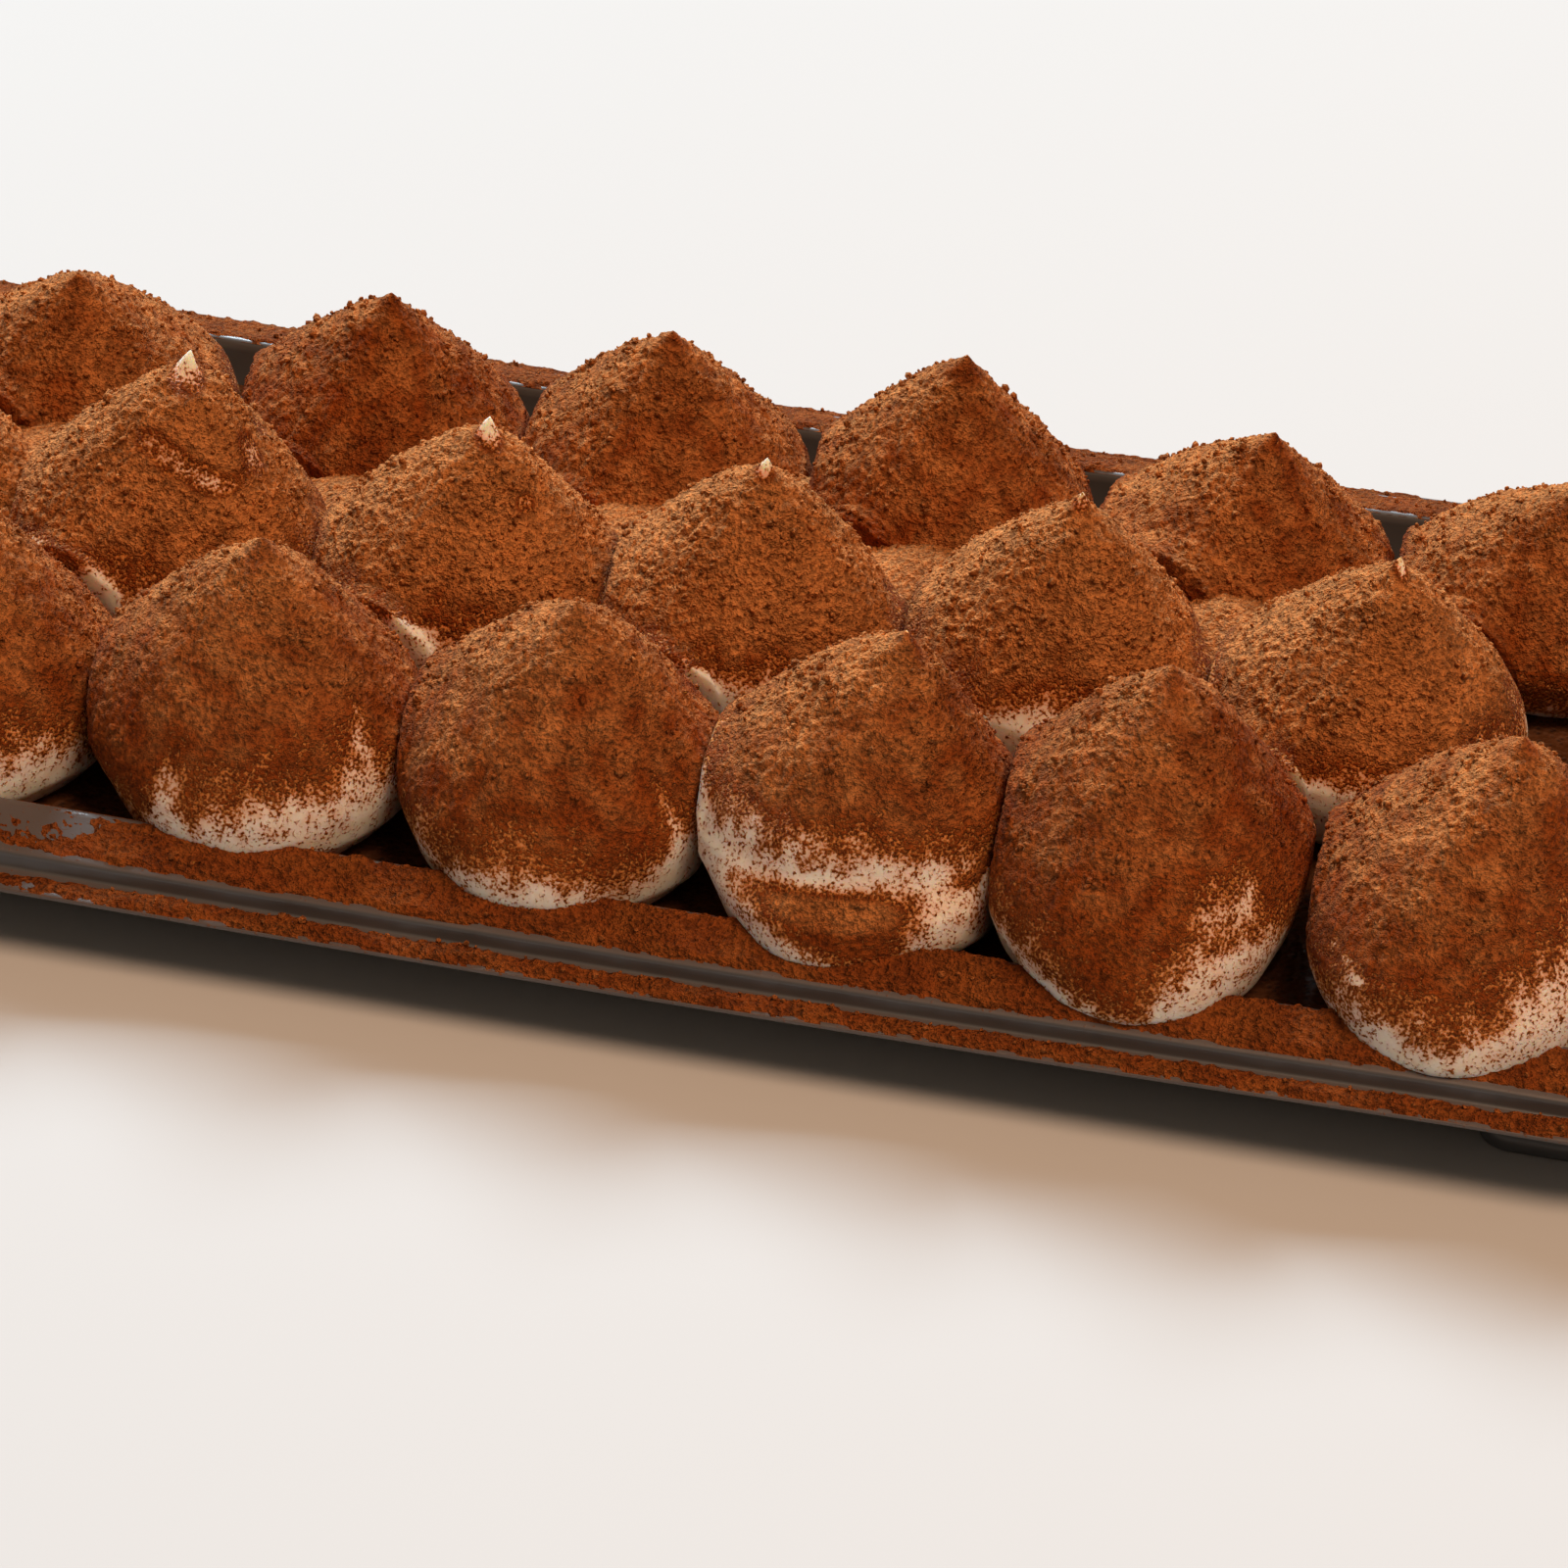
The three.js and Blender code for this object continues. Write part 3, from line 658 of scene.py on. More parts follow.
SPOTS = {
    "dollop_front_3": [(-29, 33.5, 0.9, 3.2, 0.55), (-33, 29.5, 1.6, 3, 0.6),
                       (-103, 38.8, 1.1, 0.8, 0.5)],
    "dollop_front_4": [(-70, 50.8, 1.2, 1.2, 0.4), (-37, 27, 1.5, 4, 0.35)],
    "dollop_front_5": [(5, 52.9, 0.35, 0.5, 0.8), (-12, 51.8, 0.4, 1.6, 0.7),
                       (-87, 23, 12, 2.4, -0.85), (-76, 19.5, 6.5, 5, -0.85),
                       (-92, 21, 7, 3, -0.6), (-36, 24.5, 5, 1.2, -0.6)],
    "dollop_front_6": [(-61, 33, 2.6, 2.6, 0.42), (-45, 31, 3, 5, 0.5), (-57, 29, 4, 3, 0.4)],
    "dollop_front_7": [(-129, 26.6, 1, 0.6, 0.6), (-122, 26, 1.6, 0.5, 0.55),
                       (-116, 24.6, 1.6, 0.8, 0.6), (-20, 50.6, 0.4, 1.6, 0.5)],
    "dollop_middle_2": [(-60, 52.4, 4.6, 6.2, 1.3), (-100, 22.5, 5, 3.5, 0.6),
                        (-74, 41.6, 3.2, 2.8, 0.88), (-10, 40, 3.2, 4.6, 0.98),
                        (-97, 43.5, 3, 2.6, 0.8), (-41, 38.1, 5, 2.2, 0.85),
                        (24, 39.8, 2.6, 2.6, 0.8), (-55, 40, 3, 2.2, 0.82)],
    "dollop_middle_3": [(-45, 50.4, 3.4, 5.2, 1.3), (-97, 22.5, 5, 4, 0.62),
                        (-30, 41, 2.4, 2, 0.9)],
    "dollop_middle_4": [(-70, 50.6, 2.6, 3.4, 1.2), (-95, 22, 4, 3, 0.6)],
    "dollop_middle_5": [(-65, 51.9, 2.2, 2.8, 1.1), (-95, 22.5, 6, 4, 0.65)],
    "dollop_middle_6": [(-34, 49.6, 1.8, 2.2, 0.9), (-43, 47.6, 1.4, 2, 0.6),
                        (-95, 21.5, 4.5, 3.5, 0.6)],
    "dollop_back_6": [(-42, 44.2, 0.9, 1.2, 0.6), (-32, 41.2, 1.1, 2.4, 0.55)],
}


def cocoa_edge(dollop, angle):
    """Height at which the cocoa ends, for each direction, going round without a jump."""
    table = sorted(COCOA_EDGE.get(dollop["name"], PLAIN_EDGE))
    turns = [(a + t, z) for t in (-360, 0, 360) for a, z in table]
    return np.interp(np.degrees(angle), *zip(*turns))


print("edges:", len(COCOA_EDGE), "drawn, and spots:", sum(map(len, SPOTS.values())))

# %% [markdown]
# ### Grooves
# Near a neighbour, cocoa collects and fills the groove. How much it holds comes from a
# soft maximum of the heights of both dollops: far from a groove that adds nothing, and
# at its bottom it adds the most.

# %% Cocoa in the grooves
GROOVE_DEPTH = 5.0                 # mm of cocoa that a groove between dollops can hold
GROOVE_EDGE = 8.0                  # mm below the higher surface at which none is held
NEIGHBOUR_SPAN = 60.0              # feet further apart than this share no groove


def groove_fill(dollop, points):
    """How much cocoa, in mm, a groove holds: the surfaces run into each other softly."""
    heights = []
    levels, slim, plump = PROFILE[1:].T
    for other in DOLLOPS:
        if np.hypot(*(other["foot"] - dollop["foot"])) > NEIGHBOUR_SPAN:
            continue
        away = np.hypot(*(points[:, :2] - other["foot"]).T) / other["radius"]
        share = slim * (1 - other["plump"]) + plump * other["plump"]
        height = DOLLOP_BASE + (other["tip"][2] - DOLLOP_BASE) * np.interp(
            away, share[::-1], levels[::-1])
        if other is dollop:
            heights.append(np.maximum(height, points[:, 2]))
        else:
            heights.append(np.where(away < 1, height, 0))
    highest = np.max(heights, axis=0)
    fill = GROOVE_DEPTH * np.log(np.sum(np.exp((heights - highest) / GROOVE_DEPTH), axis=0))
    return fill * (1 - smooth_step(0, GROOVE_EDGE, highest - points[:, 2]))


shoulders = dollop_point(DOLLOPS[3], np.full(90, 0.5), np.linspace(0, 2 * np.pi, 90))
print("most cocoa round the shoulders, in mm:", groove_fill(DOLLOPS[3], shoulders).max().round(1))

# %% [markdown]
# ### Cover of cocoa
# The cover is 1 under thick cocoa and 0 on bare cream. It fades over a centimetre or so
# round the edge of the table above, which short tongues and slow waves make uneven. A
# thin dusting and single specks go on below it.

# %% Cover of cocoa
TONGUES, TONGUE_SIZE = 2.8, (2.4, 2.4, 7)      # mm that they hang down, and their widths
WAVES, WAVE_SIZE = 4.5, 6
GROOVE_DRAW, GROOVE_FILLS = 8, (2.8, 5.8)      # lower edge, in mm, where a groove is filled
EDGE_SPAN = {"dollop_front_5": 10}             # mm over which cocoa thins out
USUAL_EDGE_SPAN = 13
COVER_LIMITS = (-0.3, 1.3)                     # room for spots to add and take away
DUSTING, DUSTING_VARIES, DUSTING_SIZE, DUSTING_FROM = 0.12, 0.25, 8, (13, 19)
SPECK_DUSTING, SPECK_VARIES, SPECK_SIZE, SPECKS_TO = 0.5, 0.25, 1.5, (36, 42)
SPOT_EDGE = 1.2                                # above 1, a spot's edge gets steeper


def cocoa_cover(dollop, points, level, angle, heaped, seed):
    """How much cocoa lies at each point: 1 is covered, 0 is bare cream."""
    z = points[:, 2]
    edge = cocoa_edge(dollop, (angle + np.pi) % (2 * np.pi) - np.pi)
    edge = (edge + TONGUES * noise(points, TONGUE_SIZE, seed)
            + WAVES * noise(points, WAVE_SIZE, seed + 1))
    edge -= GROOVE_DRAW * smooth_step(*GROOVE_FILLS, heaped)
    span = EDGE_SPAN.get(dollop["name"], USUAL_EDGE_SPAN)
    cover = np.clip(0.5 + (z - edge) / span, *COVER_LIMITS)
    dusting = DUSTING + DUSTING_VARIES * noise(points, DUSTING_SIZE, seed + 2)
    dusting = dusting * smooth_step(*DUSTING_FROM, z)
    cover = np.maximum(cover, dusting)
    reach = np.hypot(*(points[:, :2].T - dollop_axis(dollop, level)))
    for direction, height, wide, tall, taken in SPOTS.get(dollop["name"], []):
        turn = math.radians(direction)
        at = np.array([(height - DOLLOP_BASE) / (dollop["tip"][2] - DOLLOP_BASE)])
        middle = dollop_point(dollop, at, np.array([turn]))[0]
        middle_reach = np.hypot(*(middle[:2] - np.ravel(dollop_axis(dollop, at))))
        along = reach * ((angle - turn + np.pi) % (2 * np.pi) - np.pi)
        up = np.hypot(z - height, reach - middle_reach)
        cover -= taken * np.exp(-((along / wide) ** 2 + (up / tall) ** 2) ** SPOT_EDGE)
    specks = SPECK_DUSTING * dusting + SPECK_VARIES * noise(points, SPECK_SIZE, seed + 3)
    cover = np.maximum(cover, specks * (1 - smooth_step(*SPECKS_TO, z)))
    return np.clip(cover, 0, 1)


print("cocoa thins out over", USUAL_EDGE_SPAN, "mm, but on these over", EDGE_SPAN)

# %% [markdown]
# ## Relief
# Three things stand off the plain form: the unevenness of cream piped by hand, over a
# centimetre or so; faint dents; and, where the cocoa is thick, its crust of clumps one to
# four millimetres wide and a few tenths high, a little higher where it is dry. Cocoa
# stays dry on what faces up. On the middle row it is dry, and so paler, on steep
# sides too.

# %% Relief of a dollop
TINY = 1e-4                        # step for measuring a slope
DRY_FROM = {"front": 0.35, "middle": -0.4, "back": 0.35,   # least slope that stays dry
            "dollop_front_6": 0.45, "dollop_front_7": 0.45, "dollop_back_3": 0.45}
DRY_SLOPE_SPAN, DRY_PATCHES, DRY_PATCH_SIZE, DRY_COVER = 0.6, 0.4, 4, (0.62, 1.0)
CRUST_LAYERS = [(0.45, 1.9, 1), (0.35, 1.15, 2), (0.2, 3.6, 3)]    # height, width, seed
PIPED_LAYERS = [(0.8, 15, 4), (0.35, 7, 5)]
DENT_LAYERS = [(0.10, 2.4, 6)]
CRUST_BASE, CRUST_MIDDLE = 0.05, 0.4           # mm that cocoa adds, at this height of clumps
MOIST_CRUST, DRY_CRUST = 0.6, 0.4              # height of clumps in mm, and what dry ones add
CRUST_COVER = (0.5, 1)                         # cover over which the crust sets in
SMOOTH_TIP, PLAIN_TIP = (0.2, 4), (0.3, 7)     # mm from the tip: crust, unevenness set in


def surface_normal(dollop, level, angle, points):
    """Directions straight out of the plain form, from two small steps along it."""
    across = dollop_point(dollop, level, angle + TINY) - points
    upward = dollop_point(dollop, np.minimum(level + TINY, 1), angle) - points
    normal = np.cross(across, upward)
    return normal / np.maximum(np.linalg.norm(normal, axis=1), 1e-12)[:, None]


def dryness(dollop, points, normal, cover):
    """1 where cocoa is thick and faces up, so that it stays dry, and 0 where it is moist."""
    least = DRY_FROM.get(dollop["name"], DRY_FROM[dollop["row"]])
    upright = normal[:, 2] + DRY_PATCHES * noise(points, DRY_PATCH_SIZE, 21)
    return smooth_step(*DRY_COVER, cover) * smooth_step(least, least + DRY_SLOPE_SPAN, upright)


def relief(points, cover, dry, crust, to_tip):
    """How far each point stands off the plain form, in mm; the tip itself stays plain."""
    piped = layered(noise, points, PIPED_LAYERS) * smooth_step(*PLAIN_TIP, to_tip)
    crusted = CRUST_BASE + (MOIST_CRUST + DRY_CRUST * dry) * (crust - CRUST_MIDDLE)
    return piped + layered(noise, points, DENT_LAYERS) + (
        smooth_step(*CRUST_COVER, cover) * crusted * smooth_step(*SMOOTH_TIP, to_tip))


print("relief: crust of", [width for _, width, _ in CRUST_LAYERS], "mm clumps")

# %% [markdown]
# ### Seats for crumbs
# Single crumbs lie on dry cocoa, in loose drifts, and gather in the grooves. They are
# made at the end, as one piece, so here each dollop only notes where they will lie.

# %% Seats for crumbs
CRUMBS_PER_DOLLOP = 440
CRUMB_SEATS = []                   # places, directions and dryness where crumbs lie
HEAP_FILLS, HEAP_SLOPES, HEAP_CHANCE = (2, 5), (0.15, 0.45), 1.2
DRIFT_NOISE, DRIFT_SIZE, LONE_CHANCE = (-0.15, 0.3), 7, 0.2
CRUMB_COVER, CRUMB_FREE_TIP = (0.8, 1), 5      # no crumbs within 5 mm of the tip


def seat_crumbs(number, points, normal, cover, dry, heaped, to_tip):
    heap = smooth_step(*HEAP_FILLS, heaped) * smooth_step(*HEAP_SLOPES, normal[:, 2])
    drift = smooth_step(*DRIFT_NOISE, noise(points, DRIFT_SIZE, 77))
    chance = smooth_step(*CRUMB_COVER, cover) * (
        dry * (LONE_CHANCE + drift) + HEAP_CHANCE * heap) * (to_tip > CRUMB_FREE_TIP)
    seats = np.random.default_rng(number).choice(
        len(points), CRUMBS_PER_DOLLOP, replace=False, p=chance / chance.sum())
    CRUMB_SEATS.append((points[seats], normal[seats], dry[seats]))


print("crumbs planned on the dollops:", CRUMBS_PER_DOLLOP * len(DOLLOPS))

# %% [markdown]
# ### Build the dollops
# Each dollop is built closed: its rings, its tip, and a flat underside a little inside
# the biscuit. Its highest point stays just below the solid's tip.

# %% Build the dollops
BELOW_TIP = 0.01                   # mm kept clear of the solid's tip
GROOVE_LIMIT = 7.0                 # most cocoa in a groove, in mm
BASE_SHARE, BASE_SUNK = 0.9, 0.1   # how wide the underside is, and mm it is in the biscuit
EDGE_SEED = 40


def underside(dollop, points, count):
    """The lowest ring again, drawn in and sunk into the biscuit, and then its middle."""
    sunk = points[:count].copy()
    sunk[:, :2] = dollop["foot"] + (sunk[:, :2] - dollop["foot"]) * BASE_SHARE
    sunk[:, 2] = BISCUIT_TOP - BASE_SUNK
    return np.vstack([sunk, [*dollop["foot"], BISCUIT_TOP - BASE_SUNK]])


def make_dollop(number, dollop):
    rings, counts = ring_plan(dollop)
    level = np.repeat(rings, counts)
    angle = np.concatenate([2 * np.pi * np.arange(n) / n for n in counts])
    points = dollop_point(dollop, level, angle)
    normal = surface_normal(dollop, level, angle, points)
    to_tip = np.linalg.norm(points - dollop["tip"], axis=1)
    heaped = groove_fill(dollop, points)
    cover = cocoa_cover(dollop, points, level, angle, heaped, EDGE_SEED + number)
    dry = dryness(dollop, points, normal, cover)
    crust = layered(clumps, points, CRUST_LAYERS)
    points = points + normal * relief(points, cover, dry, crust, to_tip)[:, None]
    points[:, 2] += np.minimum(heaped, GROOVE_LIMIT)
    points[:, 2] = np.minimum(points[:, 2], dollop["tip"][2] - BELOW_TIP)
    seat_crumbs(number, points, normal, cover, dry, heaped, to_tip)

    count, total = counts[0], len(points)
    first = total + 1
    k = np.arange(count)
    after = (k + 1) % count
    faces = ring_faces(counts, total)
    faces += np.stack([k, first + k, first + after, after], 1).tolist()
    faces += fan(first, count, first + count, up=False)
    tip = dollop["tip"] - (0, 0, BELOW_TIP)
    points = np.vstack([points, tip, underside(dollop, points, count)])
    below = np.zeros(count + 1)
    piece = make_piece(
        dollop["name"].replace("dollop", "dusted_dollop"), points, faces, COCOA_CREAM,
        replaced=dollop["name"],
        marks={"cocoa": np.concatenate([cover, cover[-1:], below]),
               "dry": np.concatenate([dry, dry[-1:], below]),
               "crust": np.concatenate([crust, [0.5], below + 0.5])})
    return len(piece.data.polygons)


face_count = sum(make_dollop(number, dollop) for number, dollop in enumerate(DOLLOPS))
print("dollops:", len(DOLLOPS), "with", face_count, "faces")

# %% [markdown]
# ## Dish
# The dish is a long tray of glazed stoneware with a stepped rim. It could be cut from a
# box and bevelled, but its rim has many soft steps. So one section goes round a rounded
# rectangle: underside, low ledge, upright band, sloping flange, inner wall and floor. It
# is swept in fine steps so that the bow and the corners are smooth.

# %% Section of the dish, in millimetres
DISH_HALF_LENGTH, DISH_HALF_WIDTH, DISH_CORNER_RADIUS = 169.0, 76.0, 17.0
LEDGE_WIDTH, LEDGE_TOP, LEDGE_UNDERSIDE, LIP_THICKNESS = 5.3, 12.0, 10.0, 0.9
BAND_TOP, MOUTH_TOP, FLANGE_WIDTH, MOUTH_INSET = 14.5, 17.0, 9.0, 10.0
FOOT_HEIGHT, FLOOR_TOP, FLOOR_INSET = 3.0, 6.0, 12.0
SECTION = np.array([
    (-9, FOOT_HEIGHT), (-8.1, FOOT_HEIGHT + 0.25), (-7.4, FOOT_HEIGHT + 0.9),
    (-6.8, FOOT_HEIGHT + 3), (-6, LEDGE_UNDERSIDE - 0.8), (-5.5, LEDGE_UNDERSIDE - 0.3),
    (-4.6, LEDGE_UNDERSIDE), (LEDGE_WIDTH - 1.6, LEDGE_TOP - LIP_THICKNESS - 0.4),
    (LEDGE_WIDTH - 0.5, LEDGE_TOP - LIP_THICKNESS - 0.1),
    (LEDGE_WIDTH - 0.12, LEDGE_TOP - 0.75), (LEDGE_WIDTH, LEDGE_TOP - 0.5),
    (LEDGE_WIDTH - 0.1, LEDGE_TOP - 0.25), (LEDGE_WIDTH - 0.4, LEDGE_TOP - 0.1),
    (LEDGE_WIDTH - 1.2, LEDGE_TOP), (0.6, LEDGE_TOP), (0.2, LEDGE_TOP + 0.08),
    (0, LEDGE_TOP + 0.4), (0, BAND_TOP - 0.6), (-0.1, BAND_TOP - 0.2),
    (-0.35, BAND_TOP + 0.02), (-0.8, BAND_TOP + 0.16),
    (-FLANGE_WIDTH + 0.9, MOUTH_TOP - 0.12), (-FLANGE_WIDTH, MOUTH_TOP),
    (-FLANGE_WIDTH - 0.5, MOUTH_TOP - 0.15), (-FLANGE_WIDTH - 0.85, MOUTH_TOP - 0.6),
    (-MOUTH_INSET, MOUTH_TOP - 1.6), (-MOUTH_INSET - 0.6, FLOOR_TOP + 1.6),
    (-FLOOR_INSET + 0.6, FLOOR_TOP + 0.4), (-FLOOR_INSET, FLOOR_TOP),
])
LEDGE_POINTS, FLANGE_POINTS = slice(10, 15), slice(19, 23)     # those that dust lies on
print("section:", len(SECTION), "points, each as offset and height")

# %% Sweep round the dish
CORNER_STEPS = 14


def rim_track(offset, step):
    """Points round the dish, moved out by offset: an arc and then a straight side, four times."""
    radius = max(DISH_CORNER_RADIUS + offset, 1.0)
    x, y = DISH_HALF_LENGTH + offset - radius, DISH_HALF_WIDTH + offset - radius
    arc_steps = max(CORNER_STEPS, round(DISH_CORNER_RADIUS * math.pi / 2 / step))
    track = []
    for quarter, (sx, sy) in enumerate([(1, 1), (-1, 1), (-1, -1), (1, -1)]):
        turn = (quarter + np.arange(arc_steps + 1) / arc_steps) * math.pi / 2
        ways = np.stack([np.cos(turn), np.sin(turn)], 1)
        track.append(np.array([sx * x, sy * y]) + radius * ways)
        side = 2 * (x if sx == sy else y)
        half = DISH_HALF_LENGTH if sx == sy else DISH_HALF_WIDTH
        count = round(2 * (half - DISH_CORNER_RADIUS) / step)
        heading = np.array([-ways[-1][1], ways[-1][0]])
        share = np.arange(1, count)[:, None] / count
        track.append(track[-1][-1] + heading * side * share)
    return np.concatenate(track)


def swept(section, step):
    """A ring of points round the dish for each offset and height of the section."""
    tracks = [rim_track(offset, step) for offset, _ in section]
    return [np.column_stack([track, np.full(len(track), z)])
            for track, (_, z) in zip(tracks, section)]


def sheet_faces(rows, columns):
    """Quads between rings of points, each ring joined to the next."""
    r, c = np.meshgrid(np.arange(rows - 1), np.arange(columns), indexing="ij")
    a = (r * columns + c).ravel()
    b = (r * columns + (c + 1) % columns).ravel()
    return np.stack([a, b, b + columns, a + columns], 1)


def closed_body(rings, low, high):
    """Points and faces of rings closed by a low middle point and a high one."""
    columns, total = len(rings[0]), len(rings) * len(rings[0])
    points = np.concatenate([*rings, [low, high]])
    faces = (sheet_faces(len(rings), columns).tolist() + fan(0, columns, total, up=False)
             + fan(total - columns, columns, total + 1))
    return points, faces


print("round the rim:", len(rim_track(0, 1.0)), "points at steps of a millimetre")

# %% Build the dish
SIDE_STEP = 3.0                    # mm between points along the sides
DUST_ON_RIM = 0.35


def make_dish():
    rings = swept(SECTION, SIDE_STEP)
    points, faces = closed_body(rings, [0, 0, SECTION[0][1]], [0, 0, SECTION[-1][1]])
    dust = np.zeros(len(SECTION))
    dust[LEDGE_POINTS] = dust[FLANGE_POINTS] = DUST_ON_RIM
    return make_piece("glazed_dish", points, faces, GLAZE, replaced="dish",
                      marks={"dust": np.concatenate([np.repeat(dust, len(rings[0])), [0, 0]])})


dish = make_dish()
print("dish:", len(dish.data.polygons), "faces")

# %% [markdown]
# ### Feet
# The dish stands on four low feet near its corners, pressed in the same mould. Each is a
# short block with round ends and a rounded lower edge, sunk a little into the underside.

# %% Feet
FOOT_LENGTH, FOOT_WIDTH, FOOT_RADIUS = 20.0, 13.0, 5.0
FOOT_CENTRE = (148.0, 63.5)
FOOT_EDGE, FOOT_SUNK = 0.5, 1.0    # rounding of the lower edge, and mm inside the dish
FOOT_SIDES = 64
FOOT_RINGS = [(FOOT_EDGE, 0), (FOOT_EDGE * 0.3, FOOT_EDGE * 0.3), (0, FOOT_EDGE),
              (0, FOOT_HEIGHT + FOOT_SUNK)]        # inset and height


def make_feet():
    points, faces = [], []
    turn = np.linspace(0, 2 * math.pi, FOOT_SIDES, endpoint=False)
    way = np.stack([np.cos(turn), np.sin(turn)], 1)
    half = np.array([FOOT_LENGTH / 2 - FOOT_RADIUS, FOOT_WIDTH / 2 - FOOT_RADIUS])
    ring_ids = np.arange(FOOT_SIDES)
    for corner in itertools.product((-1, 1), repeat=2):
        first = sum(map(len, points))
        last = first + (len(FOOT_RINGS) - 1) * FOOT_SIDES
        for inset, z in FOOT_RINGS:
            ring = np.sign(np.round(way, 9)) * half + way * (FOOT_RADIUS - inset)
            ring += np.array(FOOT_CENTRE) * corner
            points.append(np.column_stack([ring, np.full(FOOT_SIDES, z)]))
        faces += (sheet_faces(len(FOOT_RINGS), FOOT_SIDES) + first).tolist()
        faces.append((first + ring_ids)[::-1].tolist())
        faces.append((last + ring_ids).tolist())
    points = np.concatenate(points)
    return make_piece("dish_feet", points, faces, GLAZE,
                      marks={"dust": np.zeros(len(points))})


feet = make_feet()
print("feet:", len(feet.data.polygons), "faces")

# %% [markdown]
# ## Soaked biscuit
# Sponge fingers lie side by side across the dish, dark with coffee. Little of them shows
# in the gaps between the dollops, so the layer keeps the solid's height and is one body,
# with the round backs of the fingers and a porous crumb on top. Single fingers would look
# the same and cost more.

# %% Biscuit
FINGER_PITCH = 21.0                # mm from one finger to the next
TOP_RINGS, FIRST_SHARE, LAST_SHARE = 90, 0.98, 0.02
BACK_BASE, BACK_HEIGHT = 1.3, 0.9  # mm below the top between two fingers, and the rise
CRUMB_LAYERS = [(0.5, 5, 31), (0.25, 1.6, 32)]     # height, width, seed
BISCUIT_WALL = [(-FLOOR_INSET - 1.3, FLOOR_TOP + 0.3), (-FLOOR_INSET - 0.3, FLOOR_TOP + 1.3),
                (-MOUTH_INSET - 0.9, BISCUIT_TOP - 1.5)]       # offset and height


def make_biscuit():
    rings = swept(BISCUIT_WALL, SIDE_STEP)
    rim = rings[-1]
    for share in np.linspace(FIRST_SHARE, LAST_SHARE, TOP_RINGS):
        ring = rim * (share, share, 1)
        backs = np.abs(np.sin(math.pi * ring[:, 0] / FINGER_PITCH)) ** 0.5
        ring[:, 2] = (BISCUIT_TOP - BACK_BASE + BACK_HEIGHT * backs
                      + layered(noise, ring, CRUMB_LAYERS))
        rings.append(ring)
    points, faces = closed_body(rings, [0, 0, FLOOR_TOP + 0.3], [0, 0, BISCUIT_TOP - 0.4])
    return make_piece("soaked_sponge_fingers", points, faces, SOAKED_CRUMB,
                      replaced="soaked_biscuit")


sponge = make_biscuit()
print("biscuit:", len(sponge.data.polygons), "faces")

# %% [markdown]
# ## Cocoa on the rim
# Cocoa that missed the cream lies on the flange and on the ledge as a clumpy layer with
# ragged edges: up to a millimetre thick, but only a thin broken dusting near one end of
# the front. Scattered grains would need millions of points to cover it, so each layer is
# a sheet of points over the rim, lifted by the layer's thickness. Where the layer runs
# out, its points dip under the glaze and their faces are dropped.

# %% Cocoa layers
LAYER_STEP = 0.45                  # mm between points
CRUMBS_PER_LAYER, RIM_DRYNESS = 250, 0.4
THIN_FROM, THIN_TO, BACK_AMOUNT = -75, -40, 0.75   # X over which the front layer gets thick
SUNK, DROPPED_BELOW = 0.06, -0.05  # mm under the glaze where there is no cocoa
EDGE_FADE, EDGE_DRAWN_IN = 0.9, 0.25       # mm over which a layer thickens, and starts late
THIN_AMOUNT, THIN_HEAP = 0.45, 0.4         # shares that are left at the thin end
BARE_PATCHES, BARE_PULL, BARE_MIDDLE = (-0.85, -0.45), 0.6, 0.55
HEAP_BASE, HEAP_RISE, HEAP_SIZE = 0.35, 0.9, 9     # mm of thickness, and width of heaps
LAYER_CRUST = 0.6                  # height of its clumps in mm
SEAT_AMOUNT = 0.8                  # crumbs lie only where there is this much cocoa


def layer_amount(points, gap, seed):
    """How much of the layer is there, 0 to 1, and how thick it lies on that stretch."""
    front_end = points[:, 0] + 9 * noise(points, 22, seed + 9)
    thick = np.where(points[:, 1] < 0, smooth_step(THIN_FROM, THIN_TO, front_end), BACK_AMOUNT)
    ragged = layered(noise, points, [(0.9, 3.2, seed), (0.5, 1.2, seed + 1)])
    amount = smooth_step(0, EDGE_FADE, gap + ragged - EDGE_DRAWN_IN)
    amount *= THIN_AMOUNT + (1 - THIN_AMOUNT) * thick
    patchy = layered(noise, points, [(1, 4.5, seed + 2), (0.6, 1.4, seed + 3)])
    patchy += BARE_PULL * (thick - BARE_MIDDLE)
    return amount * smooth_step(*BARE_PATCHES, patchy), thick


